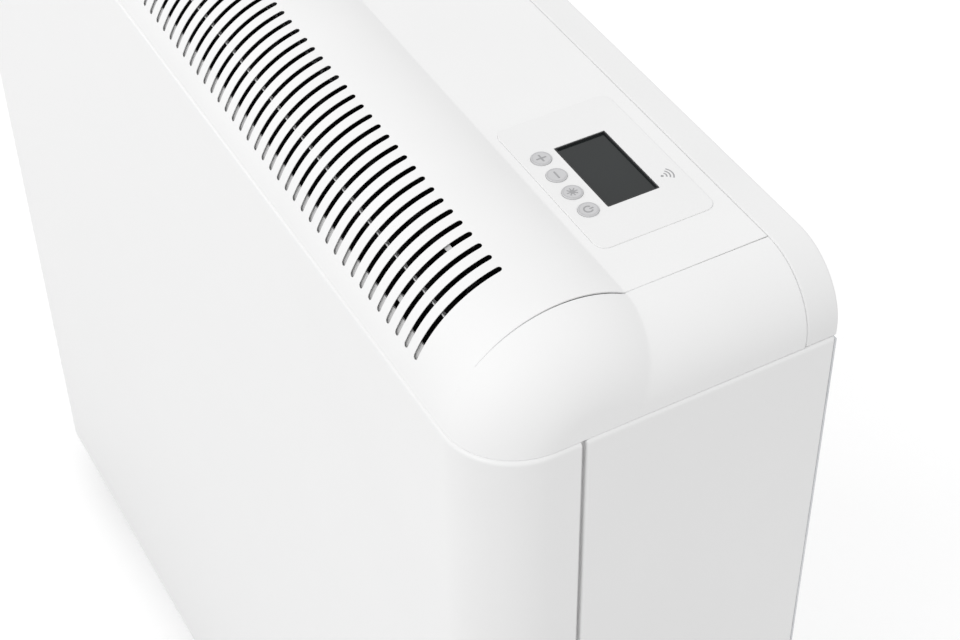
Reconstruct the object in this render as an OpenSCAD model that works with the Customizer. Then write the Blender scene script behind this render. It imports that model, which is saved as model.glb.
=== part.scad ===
// Fan-assisted storage heater: steel casing, rounded top with a slotted roll, brick heat store.
// Front is -Y, the wall side is +Y, right is +X. Origin: centre of the footprint, on the floor.

/* [Casing] */
// Overall width
body_w = 780; // [740:1:860]
// Overall depth, front face to wall face
body_d = 189; // [186:1:205]
// Overall height, floor to the crown of the roll
body_h = 730; // [700:1:790]
// Thickness of the painted steel sheet
sheet = 1.2; // [1:0.1:1.5]
// Radius of the upright front corners and of the rounded ends of the top
corner_r = 36; // [33:0.5:38]
// Outer radius of the folds along the panel edges
fold_r = 2; // [1.7:0.1:3]
// Depth of the flanges folded in along the panel edges
flange = 12; // [9:0.5:14]
// How far the steel casing stands proud of the top
proud = 1.2; // [0.8:0.1:1.6]
// Width of the upright gap between front and side panels
side_gap = 1.6; // [1:0.1:2.5]
// Length of the front panel behind each corner
wrap = 15.9; // [10:0.1:22]
// Height of the casing above the floor
floor_gap = 30; // [24:1:40]
// Thickness of the base plate
base_t = 2; // [1.5:0.1:3]
// Distance between the outermost screws along the casing's lower edge
screw_span = 400; // [360:10:480]
// Width of the air inlet slots in the base
inlet_w = 3.5; // [2.5:0.1:3.9]
// Length of the air inlet slots in the base
inlet_l = 34; // [20:1:44]

/* [Rounded top] */
// Radius of the roll along the front
roll_r = 62.2; // [59:0.1:65]
// Height of the roll's crown above the flat deck
roll_rise = 9; // [7:0.1:12]
// Height of the deck above the steel casing
cap_drop = 41; // [40:0.5:46]
// Wall of the moulded end caps and rear rail
moulding = 2.5; // [2:0.1:3]
// Depth of the strip behind the deck
rear_strip = 17.3; // [14:0.1:20]
// Radius of the hollow where roll and deck meet
crease_r = 2.5; // [1:0.1:4]
// Gap where two pieces of the top meet
seam_gap = 0.35; // [0.2:0.05:0.6]
// Widest gap beside the dome, at the deck
dome_gap = 1.4; // [0.5:0.05:1.8]
// Length of the lip of an end cap under the top cover
lip = 8; // [5:0.5:12]

/* [Grille] */
// Width of a slit
slit_w = 3.2; // [2.2:0.1:3.6]
// Distance from slit to slit
slit_pitch = 9.11; // [8:0.01:11]
// Distance from the side face to the first slit
slit_margin = 71.2; // [64:0.1:90]
// Lower end of the slits, degrees above the horizontal
slit_low = 24.6; // [20:0.1:30]
// Upper end of the slits, degrees above the horizontal
slit_high = 79.3; // [70:0.1:84]
// Top edge of the rail behind the slits, degrees above the horizontal
rail_top = 31.7; // [28:0.1:36]
// Place of the stay behind the slits, degrees above the horizontal
stay_angle = 47.5; // [42:0.1:52]
// Depth of the stay behind the slits
stay_d = 5; // [3:0.1:8]
// Which slit the stay's bracket sits behind, counted from the right
bracket_slit = 4; // [2:1:9]

/* [Controls] */
// Length of the control fascia
fascia_w = 99.5; // [94:0.5:110]
// Distance from the foot of the roll to the fascia
fascia_front = 4.78; // [3:0.01:7]
// Distance from the fascia to the rear strip
fascia_rear = 8.5; // [5:0.1:12]
// Corner radius of the control fascia
fascia_r = 6; // [3:0.5:9]
// Height of the fascia above the deck
fascia_rise = 0.4; // [0.2:0.1:1]
// Thickness of the fascia's edge under the deck
fascia_t = 1.5; // [1:0.1:2]
// Distance of the fascia's centre from the seam
fascia_inset = 78.7; // [70:0.1:100]
// Length of the screen
screen_w = 49.6; // [44:0.1:54]
// Distance from the keys' centres to the screen
screen_inset = 9.4; // [8:0.1:12]
// Distance from the screen to the fascia's rear edge
screen_margin = 16.35; // [12:0.05:20]
// Radius of a key
key_r = 5.1; // [4.4:0.1:5.5]
// Distance from the fascia's front edge to the keys' centres
key_inset = 10.15; // [9:0.05:12]
// Distance from key to key
key_pitch = 14.44; // [13.6:0.01:16]
// Height of a key above the fascia
key_rise = 0.6; // [0.5:0.1:1.2]
// Travel of a key
key_travel = 0.5; // [0.3:0.05:0.6]
// Height of the posts between fascia and display board
post_h = 7.3; // [6.8:0.1:9]

/* [Heat store] */
// Pairs of brick rows, each pair with one heating element
brick_pairs = 3; // [2:1:4]
// Bricks side by side in a row
brick_columns = 3; // [2:1:4]
// Joint between bricks
brick_joint = 0.3; // [0.2:0.05:0.5]
// Radius of the upright air channels in the bricks
channel_r = 8; // [6:0.5:10]
// Thickness of the front and back insulation
wall_insulation = 20; // [17:0.5:23]
// Thickness of the insulation at both ends
end_insulation = 22; // [18:0.5:26]
// Thickness of the insulation below and above the bricks
slab_insulation = 30; // [26:0.5:36]
// Thickness of the inner steel shell
shell_t = 1; // [0.8:0.1:1.5]
// Air gap between inner shell and casing
shell_air = 5.3; // [4:0.1:7]
// Width of the cool compartment at the right end
service_w = 126.8; // [118:0.1:140]
// Space between inner shell and the top edge of the casing
head_room = 76; // [72:0.5:86]
// Height of the shelf that carries the store above the base
shelf_h = 86.8; // [82:0.1:96]
// Thickness of the shelf
shelf_t = 2; // [1.5:0.1:3]
// Radius of a heating element
element_r = 4.2; // [3.6:0.1:4.8]

/* [Air path] */
// Length of the air slots, the fan rotor and the damper flap
air_l = 180; // [150:1:220]
// Depth of the air slots
air_d = 24; // [20:0.5:28]
// Radius of the fan rotor
fan_r = 24; // [21:0.5:25]
// Blades of the fan rotor
blades = 24; // [18:1:30]
// Radius of the fan and damper shafts
shaft_r = 3; // [2.5:0.1:3.5]
// Height of the damper frame
damper_h = 28; // [26:0.5:32]
// Radius of the direct heating element
boost_r = 4; // [3.4:0.1:4.6]
// Distance between the fins of the direct heating element
fin_pitch = 12; // [9:0.5:16]

/* [Fixing] */
// Radius of the wall fixing holes
wall_hole_r = 4; // [3:0.1:5]
// Distance between the wall fixing holes
wall_span = 500; // [440:5:520]
// Distance from the wall fixing holes up to the edge of the casing
wall_drop = 40; // [30:1:60]
// Radius of the floor fixing holes
floor_hole_r = 3.5; // [3:0.1:4.5]
// Distance from a side face to the centre of the foot
foot_inset = 90; // [80:1:105]
// Distance between the floor fixing holes, front to back
floor_hole_span = 130; // [110:1:140]
// Thickness of the feet
foot_t = 2.5; // [2:0.1:3.5]
// Bore of the cable gland
gland_bore = 4.5; // [3.5:0.1:5.5]

/* [Hidden] */
$fn = 64;
fit = 0.15;
rub = 0.05;
half_w = body_w / 2;
y_front = -body_d / 2;
y_back = body_d / 2;
y_gap = y_front + corner_r + wrap;
side_y0 = y_gap + side_gap;
side_y1 = y_back - sheet;

// heights
deck_z = body_h - roll_rise;
low_z = deck_z - cap_drop;
roll_z = body_h - roll_r;
tray_z = floor_gap + sheet;
tray_top = tray_z + base_t;
shelf_z = tray_top + shelf_h;
shell_z1 = low_z - head_room;

// the top: the roll's lower edge lies just inside the front panel
low_angle = asin((low_z - roll_z) / roll_r);
roll_y = y_front + proud + roll_r * cos(low_angle);
crease_y = roll_y + sqrt(pow(roll_r, 2) - pow(deck_z - roll_z, 2));
back_line = y_back - rear_strip;
cap_half = half_w - proud;
seam_x = cap_half - corner_r;
skin_r = roll_r - sheet;

// the grille
slit_count = floor((body_w - 2 * slit_margin) / slit_pitch + 0.5) + 1;
slit_x1 = (slit_count - 1) * slit_pitch / 2;
slit_end = asin(slit_w / 2 / roll_r);
rib_drop = 0.02;
rib_end = 2;
rail_t = sheet;
rail_r = skin_r - 0.3;
bracket_shift = 2.9;
bracket_x = slit_x1 - (bracket_slit - 1) * slit_pitch - bracket_shift;
bracket_w = 3.4;
bracket_foot = 3;
bracket_foot_w = 6.4;
bracket_low = stay_angle - 10.5;
bracket_high = stay_angle + 20;
bracket_drop = stay_d + 2;

// the controls
fascia_x = seam_x - fascia_inset;
fascia_y0 = crease_y + fascia_front;
fascia_y1 = back_line - fascia_rear;
fascia_l = fascia_y1 - fascia_y0;
fascia_y = (fascia_y0 + fascia_y1) / 2;
fascia_top = deck_z + fascia_rise;
fascia_low = deck_z - sheet - fascia_t;
fascia_edge = 3;
key_x = fascia_x + 0.9;
key_y = fascia_y0 + key_inset;
screen_x = fascia_x + 0.2;
screen_y0 = key_y + screen_inset;
screen_y1 = fascia_y1 - screen_margin;
screen_l = screen_y1 - screen_y0;
screen_y = (screen_y0 + screen_y1) / 2;
lens_edge = 1.5;
lens_edge_t = 1;
key_edge = 1.1;
key_edge_t = 0.8;
key_stem_r = 1.5;
switch_w = 6;
switch_h = 3.5;
board_w = fascia_w - 8;
board_l = fascia_l - 9;
board_t = 1.6;
board_top = fascia_low - post_h;
post_r = 2.5;
post_x = board_w / 2 - 4;
post_y = board_l / 2 - 4;
board_screw_r = 1.2;

// the heat store
shell_x1 = half_w - sheet - service_w;
shell_y = body_d / 2 - sheet - shell_air;
shell_corner = corner_r - sheet - 2;
shell_x0 = corner_r - half_w - sqrt(pow(shell_corner, 2) - pow(corner_r - sheet - shell_air, 2));
room_x0 = shell_x0 + shell_t;
room_x1 = shell_x1 - shell_t;
room_y = shell_y - shell_t;
room_z0 = shelf_z + shell_t;
room_z1 = shell_z1 - shell_t;
store_x0 = room_x0 + end_insulation;
store_x1 = room_x1 - end_insulation;
store_y = room_y - wall_insulation;
store_z0 = room_z0 + slab_insulation;
store_z1 = room_z1 - slab_insulation;
brick_rows = 2 * brick_pairs;
brick_px = (store_x1 - store_x0) / brick_columns;
brick_pz = (store_z1 - store_z0) / brick_rows;
trough = slab_insulation / 2;
air_x = (store_x0 + store_x1) / 2;
air_x0 = air_x - air_l / 2;
air_x1 = air_x + air_l / 2;

// heating elements: one hairpin for every two rows
bend_r = brick_pz / 2;
bend_x = store_x0 + bend_r + element_r + 6;
bush_r = 8;
bush_flange_r = 11;
shield_x = shell_x1 + 14;
shield_z1 = low_z - 20;
element_end = shield_x + 10;
collar = 4;
collar_rise = 0.2;
sensor_y = store_y / 2;
sensor_z = store_z0 + 2.5 * brick_pz;
sensor_r = 2.5;

// fan
fan_z = tray_top + shelf_h / 2;
scroll_r = fan_r + 3;
scroll_t = 1.5;
fan_side = air_l / 2 + 5;
bearing_r = 8;
bearing_l = 8;
motor_x = air_x + fan_side + 12;
motor_l = 36;
motor_r = 26;

// damper and outlet
damper_z = shell_z1 + damper_h / 2;
damper_wall = 3;
flap_t = 2;
duct_z = shell_z1 + damper_h;
duct_x = slit_x1 + 10;
duct_t = 1;
duct_front = -40;
duct_back = air_d / 2 + damper_wall + 1;
boost_y = -24;
boost_z = duct_z + 26;
fin_r = 11;
damper_motor_r = 22;
damper_motor_l = 20;

// cool compartment
carrier_y = shell_y - 36;
carrier_x = shield_x + sheet + 34;
standoff = 4;
pcb_x = carrier_x + 2 + standoff;
cutout_z = shell_z1 - 50;
cutout_y = 40 - shell_y;
cutout_l = 14;
cutout_r = 9;
carrier_h = 200;
carrier_z = cutout_z - cutout_r - 11.8 - carrier_h;
button_r = 2.5;
button_travel = 1.5;
gland_inset = 37.2;
gland_x = half_w - gland_inset;
gland_y = shell_y - 36;
gland_r = 8;

// feet
foot_w = 44;
foot_lip = 16;
foot_x = half_w - foot_inset;
foot_half_l = body_d / 2 - flange - 0.5;
foot_bolt_y = 55;
foot_bolt_r = 3;

// ---------- helpers ----------

// a box from one corner to the other
module block(low, high) {
    translate(low) cube(high - low);
}

// a (y, z) outline drawn out along X
module along_x(x0, x1) {
    translate([x0, 0, 0]) rotate([90, 0, 90]) linear_extrude(x1 - x0) children();
}

// an (x, z) outline drawn out along Y
module along_y(y0, y1) {
    translate([0, y1, 0]) rotate([90, 0, 0]) linear_extrude(y1 - y0) children();
}

// a rod along X
module rod_x(x0, x1, y, z, r) {
    translate([x0, y, z]) rotate([0, 90, 0]) cylinder(h = x1 - x0, r = r);
}

// a flat rectangle with round corners
module round_rect(w, l, r) {
    square([w - 2 * r, l], center = true);
    square([w, l - 2 * r], center = true);
    for (sx = [-1, 1], sy = [-1, 1])
        translate([sx * (w / 2 - r), sy * (l / 2 - r)]) circle(r);
}

// the casing's plan, drawn in by inset, with round front corners
module plan(inset, y_rear) {
    r = corner_r - inset;
    translate([-half_w + corner_r, y_front + inset])
        square([body_w - 2 * corner_r, y_rear - y_front - inset]);
    translate([-half_w + inset, y_front + corner_r])
        square([body_w - 2 * inset, y_rear - y_front - corner_r]);
    for (s = [-1, 1]) translate([s * (half_w - corner_r), y_front + corner_r]) circle(r);
}

// a strip of height h whose left edge has both corners rounded
module folded_strip(w, h, r) {
    translate([r, 0]) square([w - r, h]);
    translate([0, r]) square([w, h - 2 * r]);
    for (z = [r, h - r]) translate([r, z]) circle(r);
}

// section of a panel with a flange folded in along both edges
module folded_section(w, h) {
    difference() {
        folded_strip(w, h, fold_r);
        translate([sheet, sheet]) folded_strip(w, h - 2 * sheet, fold_r - sheet);
    }
}

// outside of a shallow pan: face on the YZ plane, all four edges rounded, open towards -X
module pan_block(y0, y1, z0, z1, depth, r) {
    intersection() {
        translate([0, 0, z0]) linear_extrude(z1 - z0)
            translate([0, y0]) mirror([1, 0]) folded_strip(depth, y1 - y0, r);
        along_y(y0, y1)
            translate([0, z0]) mirror([1, 0]) folded_strip(depth, z1 - z0, r);
    }
}

// a wedge of the (y, z) plane around the roll, angles above the front horizontal
module wedge(a0, a1) {
    reach = 3 * roll_r;
    steps = 4;
    arc = [for (i = [0:steps]) let (a = a0 + (a1 - a0) * i / steps) reach * [-cos(a), sin(a)]];
    polygon(concat([[0, 0]], arc));
}

// a ring sector around the roll's axis, in the (y, z) plane
module roll_ring(r0, r1, a0, a1) {
    translate([roll_y, roll_z]) intersection() {
        difference() {
            circle(r1, $fn = 180);
            circle(r0, $fn = 180);
        }
        wedge(a0, a1);
    }
}

// moves its children from the roll's axis to an angle above the front horizontal
module at_roll(x, angle) {
    translate([x, roll_y, roll_z]) rotate([90 - angle, 0, 0]) children();
}

// pan-head screw pointing up, head below z = 0
module screw_up(r, head_r, head_h, length) {
    cylinder(h = length, r = r);
    translate([0, 0, -head_h]) cylinder(h = head_h, r = head_r);
}

// ---------- casing ----------

module front_panel() {
    h = low_z - floor_gap;
    color("whitesmoke") difference() {
        union() {
            along_x(-half_w + corner_r, half_w - corner_r)
                translate([y_front, floor_gap]) folded_section(flange, h);
            for (s = [0, 1]) mirror([s, 0, 0]) {
                translate([half_w - corner_r, y_front + corner_r, floor_gap])
                    rotate([0, 0, -90]) rotate_extrude(angle = 90)
                        translate([corner_r, 0]) mirror([1, 0]) folded_section(flange, h);
                along_y(y_front + corner_r, y_gap)
                    translate([half_w, floor_gap]) mirror([1, 0]) folded_section(flange, h);
            }
        }
        casing_screw_holes();
    }
}

// a lip at its front edge closes the bottom of the upright gap
module side_panel() {
    lip_reach = 4;
    lip_x = half_w - sheet - 0.2;
    lip_inset = 2 * fold_r;
    translate([half_w, 0, 0]) difference() {
        pan_block(side_y0, side_y1, floor_gap, low_z, flange, fold_r);
        translate([-sheet, 0, 0])
            pan_block(side_y0 + sheet, side_y1 - sheet, floor_gap + sheet, low_z - sheet,
                flange, fold_r - sheet);
    }
    block([lip_x - sheet, side_y0 - lip_reach, floor_gap + lip_inset],
        [lip_x, side_y0 + sheet / 2, low_z - lip_inset]);
}

module side_panel_left() {
    color("whitesmoke") mirror([1, 0, 0]) side_panel();
}

module side_panel_right() {
    color("whitesmoke") side_panel();
}

module back_panel() {
    inner_w = half_w - flange - 0.5;
    color("silver") difference() {
        union() {
            block([-half_w + 1, y_back - sheet, floor_gap], [half_w - 1, y_back, low_z - fold_r]);
            along_x(-inner_w, inner_w)
                translate([y_back, floor_gap]) mirror([1, 0])
                    folded_section(flange, low_z - floor_gap);
        }
        for (s = [-1, 1])
            translate([s * wall_span / 2, y_back + 1, low_z - wall_drop]) rotate([90, 0, 0])
                cylinder(h = sheet + 2, r = wall_hole_r);
        casing_screw_holes();
    }
}

// front view of the rear rail: flat top, rounded down at both ends
module rail_outline(inset) {
    r = corner_r - inset;
    translate([-seam_x, low_z - inset]) square([2 * seam_x, cap_drop]);
    for (s = [-1, 1]) translate([s * seam_x, deck_z - corner_r]) circle(r, $fn = 128);
    translate([-seam_x - r, low_z - inset])
        square([2 * (seam_x + r), cap_drop - corner_r + inset]);
}

module rear_rail() {
    ledge_l = 5;
    color("whitesmoke") {
        intersection() {
            difference() {
                along_y(back_line, y_back) rail_outline(0);
                along_y(back_line + moulding, y_back - moulding) rail_outline(moulding);
            }
            block([-half_w, back_line - 1, low_z], [half_w, y_back + 1, body_h]);
        }
        block([-seam_x + lip + 4, back_line - ledge_l, deck_z - sheet - moulding],
            [seam_x - lip - 4, back_line + moulding, deck_z - sheet]);
    }
}

module base_tray() {
    clear = fold_r + 0.1;
    notch = 1;
    inlet_x0 = air_x0 - 30;
    inlet_count = 14;
    inlet_pitch = (air_l + 60) / (inlet_count - 1);
    color("silver") translate([0, 0, tray_z]) linear_extrude(base_t) difference() {
        plan(clear, side_y1 - fold_r - 0.1);
        for (s = [-1, 1], y = [side_y0, side_y1 - sheet])
            translate([s * (half_w - flange / 2), y + sheet / 2])
                square([flange + 2 * notch, 2 * fold_r + 2 * notch], center = true);
        for (i = [0:inlet_count - 1], y = [-45, 45])
            translate([inlet_x0 + i * inlet_pitch, y])
                round_rect(inlet_w, inlet_l, inlet_w / 2 - 0.01);
        for (s = [-1, 1], y = [-foot_bolt_y, foot_bolt_y])
            translate([s * foot_x, y]) circle(foot_bolt_r + fit);
        for (p = casing_screw_places()) translate(p) circle(1.9 + fit);
        translate([gland_x, gland_y]) circle(gland_r + fit);
    }
}

// places of the screws that hold the front and back panels to the base
function casing_screw_places() = [
    for (s = [-1, 0, 1], y = [y_front + flange - 4, y_back - flange + 4]) [s * screw_span / 2, y]
];

module casing_screws() {
    color("dimgray") for (p = casing_screw_places())
        translate([p[0], p[1], floor_gap]) screw_up(1.9, 3.8, 2, 8);
}

module casing_screw_holes() {
    for (p = casing_screw_places())
        translate([p[0], p[1], floor_gap - 1]) cylinder(h = sheet + 2, r = 1.9 + fit);
}

module foot() {
    y0 = -foot_half_l;
    difference() {
        union() {
            block([-foot_w / 2, y0, 0], [foot_w / 2, -y0, tray_z]);
            block([-foot_w / 2 - foot_lip, y0, 0], [foot_w / 2 + foot_lip, -y0, foot_t]);
        }
        block([-foot_w / 2 + foot_t, y0 + foot_t, -1],
            [foot_w / 2 - foot_t, -y0 - foot_t, tray_z - foot_t]);
        for (y = [-foot_bolt_y, foot_bolt_y])
            translate([0, y, tray_z - foot_t - 1]) cylinder(h = foot_t + 2, r = foot_bolt_r + fit);
        for (y = [-floor_hole_span / 2, floor_hole_span / 2])
            translate([(foot_w + foot_lip) / 2, y, -1])
                cylinder(h = foot_t + 2, r = floor_hole_r);
    }
}

module foot_left() {
    color("dimgray") translate([-foot_x, 0, 0]) mirror([1, 0, 0]) foot();
}

module foot_right() {
    color("dimgray") translate([foot_x, 0, 0]) foot();
}

module foot_bolts() {
    nut_h = 4;
    hex_r = 5.5;
    color("silver") for (s = [-1, 1], y = [-foot_bolt_y, foot_bolt_y])
        translate([s * foot_x, y, tray_z - foot_t - nut_h]) {
            cylinder(h = nut_h, r = hex_r, $fn = 6);
            cylinder(h = foot_t + base_t + 2 * nut_h + 1, r = foot_bolt_r);
            translate([0, 0, nut_h + foot_t + base_t]) cylinder(h = nut_h, r = hex_r, $fn = 6);
        }
}

// ---------- the rounded top ----------

// section of the hollow where roll and deck meet; its circle bites a little into both
module crease_fill() {
    bite = 0.01;
    cz = deck_z + crease_r;
    cy = roll_y + sqrt(pow(roll_r + crease_r, 2) - pow(cz - roll_z, 2));
    reach = [cy - roll_y, cz - roll_z] / (roll_r + crease_r);
    difference() {
        polygon([
            [cy, deck_z], [roll_y, roll_z] + reach * roll_r,
            [roll_y, roll_z] + reach * (roll_r - sheet / 2), [cy, deck_z - sheet / 2]
        ]);
        translate([cy, cz]) circle(crease_r + bite, $fn = 128);
    }
}

// section of the top cover: the roll's skin and the flat deck
module cover_section() {
    crease_angle = 180 - atan2(deck_z - roll_z, crease_y - roll_y);
    difference() {
        roll_ring(skin_r, roll_r, 0, crease_angle);
        translate([roll_y - 2 * roll_r, low_z - 2 * roll_r]) square([2 * roll_r, 2 * roll_r]);
        // the ribs between the slits lie a hair lower, so that each is a face of its own
        for (r = [skin_r - 1, roll_r - rib_drop])
            roll_ring(r, r + 1 + rib_drop, slit_low + rib_end, slit_high - rib_end);
    }
    translate([crease_y - 1, deck_z - sheet])
        square([back_line - seam_gap - crease_y + 1, sheet]);
    crease_fill();
}

// one slit through the roll, with round ends
module slit(x) {
    a0 = slit_low + slit_end;
    a1 = slit_high - slit_end;
    translate([x, roll_y, roll_z]) rotate([0, 90, 0]) rotate([0, 0, 270 - a1])
        rotate_extrude(angle = a1 - a0, $fn = 180)
            translate([skin_r - 1, -slit_w / 2]) square([sheet + 2, slit_w]);
    for (a = [a0, a1])
        at_roll(x, a) translate([0, 0, skin_r - 1])
            cylinder(h = sheet + 2, r = slit_w / 2, $fn = 32);
}

module top_cover() {
    color("white") difference() {
        along_x(-seam_x + fit, seam_x - fit) cover_section();
        for (i = [0:slit_count - 1]) slit(-slit_x1 + i * slit_pitch);
        translate([fascia_x, fascia_y, deck_z - sheet - 1]) linear_extrude(sheet + 2)
            round_rect(fascia_w + 2 * fit, fascia_l + 2 * fit, fascia_r + fit);
    }
}

// solid of an end cap's outside, drawn in by inset; the seam is its left face
module cap_block(inset) {
    r = corner_r - inset;
    union() {
        translate([seam_x, roll_y, roll_z]) rotate([0, 90, 0]) rotate_extrude($fn = 180) {
            square([roll_r - corner_r, r]);
            intersection() {
                translate([roll_r - corner_r, 0]) circle(r, $fn = 128);
                square([2 * roll_r, 2 * roll_r]);
            }
        }
        along_y(roll_y, back_line - seam_gap) {
            intersection() {
                translate([seam_x, deck_z - corner_r]) circle(r, $fn = 128);
                translate([seam_x, low_z]) square([2 * roll_r, 2 * roll_r]);
            }
            translate([seam_x, low_z - inset]) square([r, cap_drop - corner_r + inset]);
        }
    }
}

// plan of an end cap: its seam edge opens into a narrow wedge beside the dome
module cap_plan() {
    fade = roll_y - roll_r * cos(38);
    polygon([
        [seam_x + seam_gap - fit, y_back], [seam_x + seam_gap - fit, crease_y + 1],
        [seam_x + dome_gap - fit, crease_y - 2], [seam_x + fit, fade],
        [seam_x, y_front - 1], [half_w + 1, y_front - 1], [half_w + 1, y_back]
    ]);
}

// the lip that carries the top cover's end
module cap_lip() {
    lip_t = 1.5;
    r1 = skin_r - 0.15;
    crease_angle = 180 - atan2(deck_z - roll_z, crease_y - roll_y);
    along_x(seam_x - lip, seam_x + 2) {
        roll_ring(r1 - lip_t, r1, low_angle + 3, crease_angle - 3);
        translate([crease_y + 3, deck_z - sheet - 0.15 - lip_t])
            square([back_line - crease_y - 12, lip_t]);
    }
    // web that joins the lip to the cap's wall
    along_x(seam_x + 1, seam_x + 3) {
        roll_ring(r1 - lip_t, roll_r - 1, low_angle + 3, crease_angle - 3);
        translate([crease_y + 3, deck_z - sheet - 0.15 - lip_t])
            square([back_line - crease_y - 12, lip_t + 0.5]);
    }
}

module end_cap() {
    intersection() {
        difference() {
            cap_block(0);
            cap_block(moulding);
        }
        translate([0, 0, low_z]) linear_extrude(2 * roll_r) cap_plan();
    }
    cap_lip();
}

module end_cap_left() {
    color("white") mirror([1, 0, 0]) end_cap();
}

module end_cap_right() {
    color("white") end_cap();
}

module front_rail() {
    foot_angle = asin((low_z - roll_z) / (rail_r - rail_t / 2));
    color("lightgray") intersection() {
        along_x(-seam_x + lip + 2, seam_x - lip - 2)
            roll_ring(rail_r - rail_t, rail_r, foot_angle - 3, rail_top);
        block([-half_w, y_front, low_z], [half_w, y_back, body_h]);
    }
}

module grille_stay() {
    stay_t = 0.6;
    color("gainsboro") at_roll(0, stay_angle)
        block([-slit_x1 - 6, -stay_t / 2, skin_r - stay_d], [slit_x1 + 6, stay_t / 2, rail_r]);
}

module grille_bracket() {
    t = 1;
    r1 = rail_r;
    half_foot = asin(bracket_foot / 2 / r1);
    low = r1 - bracket_drop;
    half_web = asin(t / 2 / r1);
    color("gainsboro") {
        along_x(bracket_x - bracket_foot_w / 2, bracket_x + bracket_foot_w / 2)
            for (a = [bracket_low, bracket_high])
                roll_ring(r1 - t, r1, a - half_foot, a + half_foot);
        along_x(bracket_x - bracket_w / 2, bracket_x + bracket_w / 2) {
            for (a = [bracket_low, bracket_high])
                roll_ring(low - t, r1 - t / 2, a - half_web, a + half_web);
            roll_ring(low - t, low, bracket_low, bracket_high);
        }
    }
}

// ---------- controls ----------

function key_place(i) = [key_x + (i - 1.5) * key_pitch, key_y];
function post_places() = [
    for (sx = [-1, 1], sy = [-1, 1]) [fascia_x + sx * post_x, fascia_y + sy * post_y]
];

module control_fascia() {
    color("white") {
        difference() {
            translate([fascia_x, fascia_y, 0]) {
                translate([0, 0, deck_z - sheet]) linear_extrude(sheet + fascia_rise)
                    round_rect(fascia_w, fascia_l, fascia_r);
                translate([0, 0, fascia_low]) linear_extrude(fascia_t)
                    round_rect(fascia_w + 2 * fascia_edge, fascia_l + 2 * fascia_edge,
                        fascia_r + fascia_edge);
            }
            translate([screen_x, screen_y, fascia_low - 1]) linear_extrude(20)
                square([screen_w + 2 * fit, screen_l + 2 * fit], center = true);
            for (i = [0:3])
                translate([key_place(i)[0], key_place(i)[1], fascia_low - 1])
                    cylinder(h = 20, r = key_r + 0.1);
        }
        for (p = post_places()) translate([p[0], p[1], board_top]) difference() {
            cylinder(h = post_h, r = post_r);
            translate([0, 0, -1]) cylinder(h = 6, r = board_screw_r + rub);
        }
    }
}

module lcd_lens() {
    color("darkslategray") translate([screen_x, screen_y, 0]) {
        translate([0, 0, fascia_low]) linear_extrude(fascia_top - fascia_low - 0.1)
            square([screen_w, screen_l], center = true);
        translate([0, 0, fascia_low - lens_edge_t]) linear_extrude(lens_edge_t)
            square([screen_w + 2 * lens_edge, screen_l + 2 * lens_edge], center = true);
    }
}

module lcd_module() {
    w = screen_w + 2 * lens_edge;
    l = screen_l + 2 * lens_edge;
    color("gray") block(
        [screen_x - w / 2, screen_y - l / 2, board_top],
        [screen_x + w / 2, screen_y + l / 2, fascia_low - lens_edge_t - 0.2]);
}

module key(i) {
    translate([key_place(i)[0], key_place(i)[1], fascia_low]) {
        cylinder(h = fascia_top + key_rise - fascia_low, r = key_r);
        translate([0, 0, -key_edge_t]) cylinder(h = key_edge_t, r = key_r + key_edge);
        stem_z = switch_h - 0.3 - post_h;
        translate([0, 0, stem_z]) cylinder(h = -stem_z, r = key_stem_r);
    }
}

module key_plus() {
    color("silver") key(0);
}

module key_minus() {
    color("silver") key(1);
}

module key_mode() {
    color("silver") key(2);
}

module key_power() {
    color("silver") key(3);
}

module tact_switches() {
    color("dimgray") for (i = [0:3])
        translate([key_place(i)[0], key_place(i)[1], board_top]) difference() {
            translate([-switch_w / 2, -switch_w / 2, 0]) cube([switch_w, switch_w, switch_h]);
            translate([0, 0, switch_h - key_travel - 0.9]) cylinder(h = 5, r = key_stem_r + 0.3);
        }
}

module display_board() {
    color("seagreen") difference() {
        translate([fascia_x, fascia_y, board_top - board_t]) linear_extrude(board_t)
            round_rect(board_w, board_l, 3);
        for (p = post_places())
            translate([p[0], p[1], board_top - board_t - 1]) cylinder(h = 5, r = board_screw_r + fit);
    }
}

module board_screws() {
    color("silver") for (p = post_places())
        translate([p[0], p[1], board_top - board_t]) screw_up(board_screw_r, 2.4, 1.6, 5.5);
}

// ---------- heat store ----------

module core_frame() {
    leg_x = [shell_x0 + 20, air_x - fan_side - 40, motor_x + motor_l + 20, shell_x1 - 20];
    foot_l = 14;
    color("gray") {
        difference() {
            block([shell_x0, -shell_y, shelf_z - shelf_t], [shell_x1, shell_y, shelf_z]);
            air_slot(shelf_z - shelf_t - 1, shelf_z + 1);
        }
        for (x = leg_x) {
            block([x, -foot_half_l, tray_top], [x + shelf_t, foot_half_l, shelf_z - shelf_t]);
            block([x, -foot_half_l, tray_top], [x + foot_l, foot_half_l, tray_top + shelf_t]);
        }
    }
}

// the air slot that runs up through shelf, shell and insulation
module air_slot(z0, z1) {
    block([air_x0, -air_d / 2, z0], [air_x1, air_d / 2, z1]);
}

// the six passages of the element legs through the right-hand wall
module leg_rods(x0, x1, r) {
    for (i = [0:brick_rows - 1]) rod_x(x0, x1, 0, store_z0 + (i + 0.5) * brick_pz, r);
}

module sensor_rod(x0, x1, r) {
    rod_x(x0, x1, sensor_y, sensor_z, r);
}

module inner_shell() {
    color("silver") difference() {
        block([shell_x0, -room_y, shelf_z], [shell_x1, shell_y, shell_z1]);
        block([room_x0, -shell_y - 1, room_z0], [room_x1, room_y, room_z1]);
        air_slot(shelf_z - 1, shell_z1 + 1);
        leg_rods(room_x1 - 1, shell_x1 + 1, bush_r + fit);
        sensor_rod(room_x1 - 1, shell_x1 + 1, sensor_r + fit);
    }
}

module inner_front() {
    color("silver") block([shell_x0, -shell_y, shelf_z], [shell_x1, -room_y, shell_z1]);
}

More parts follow.
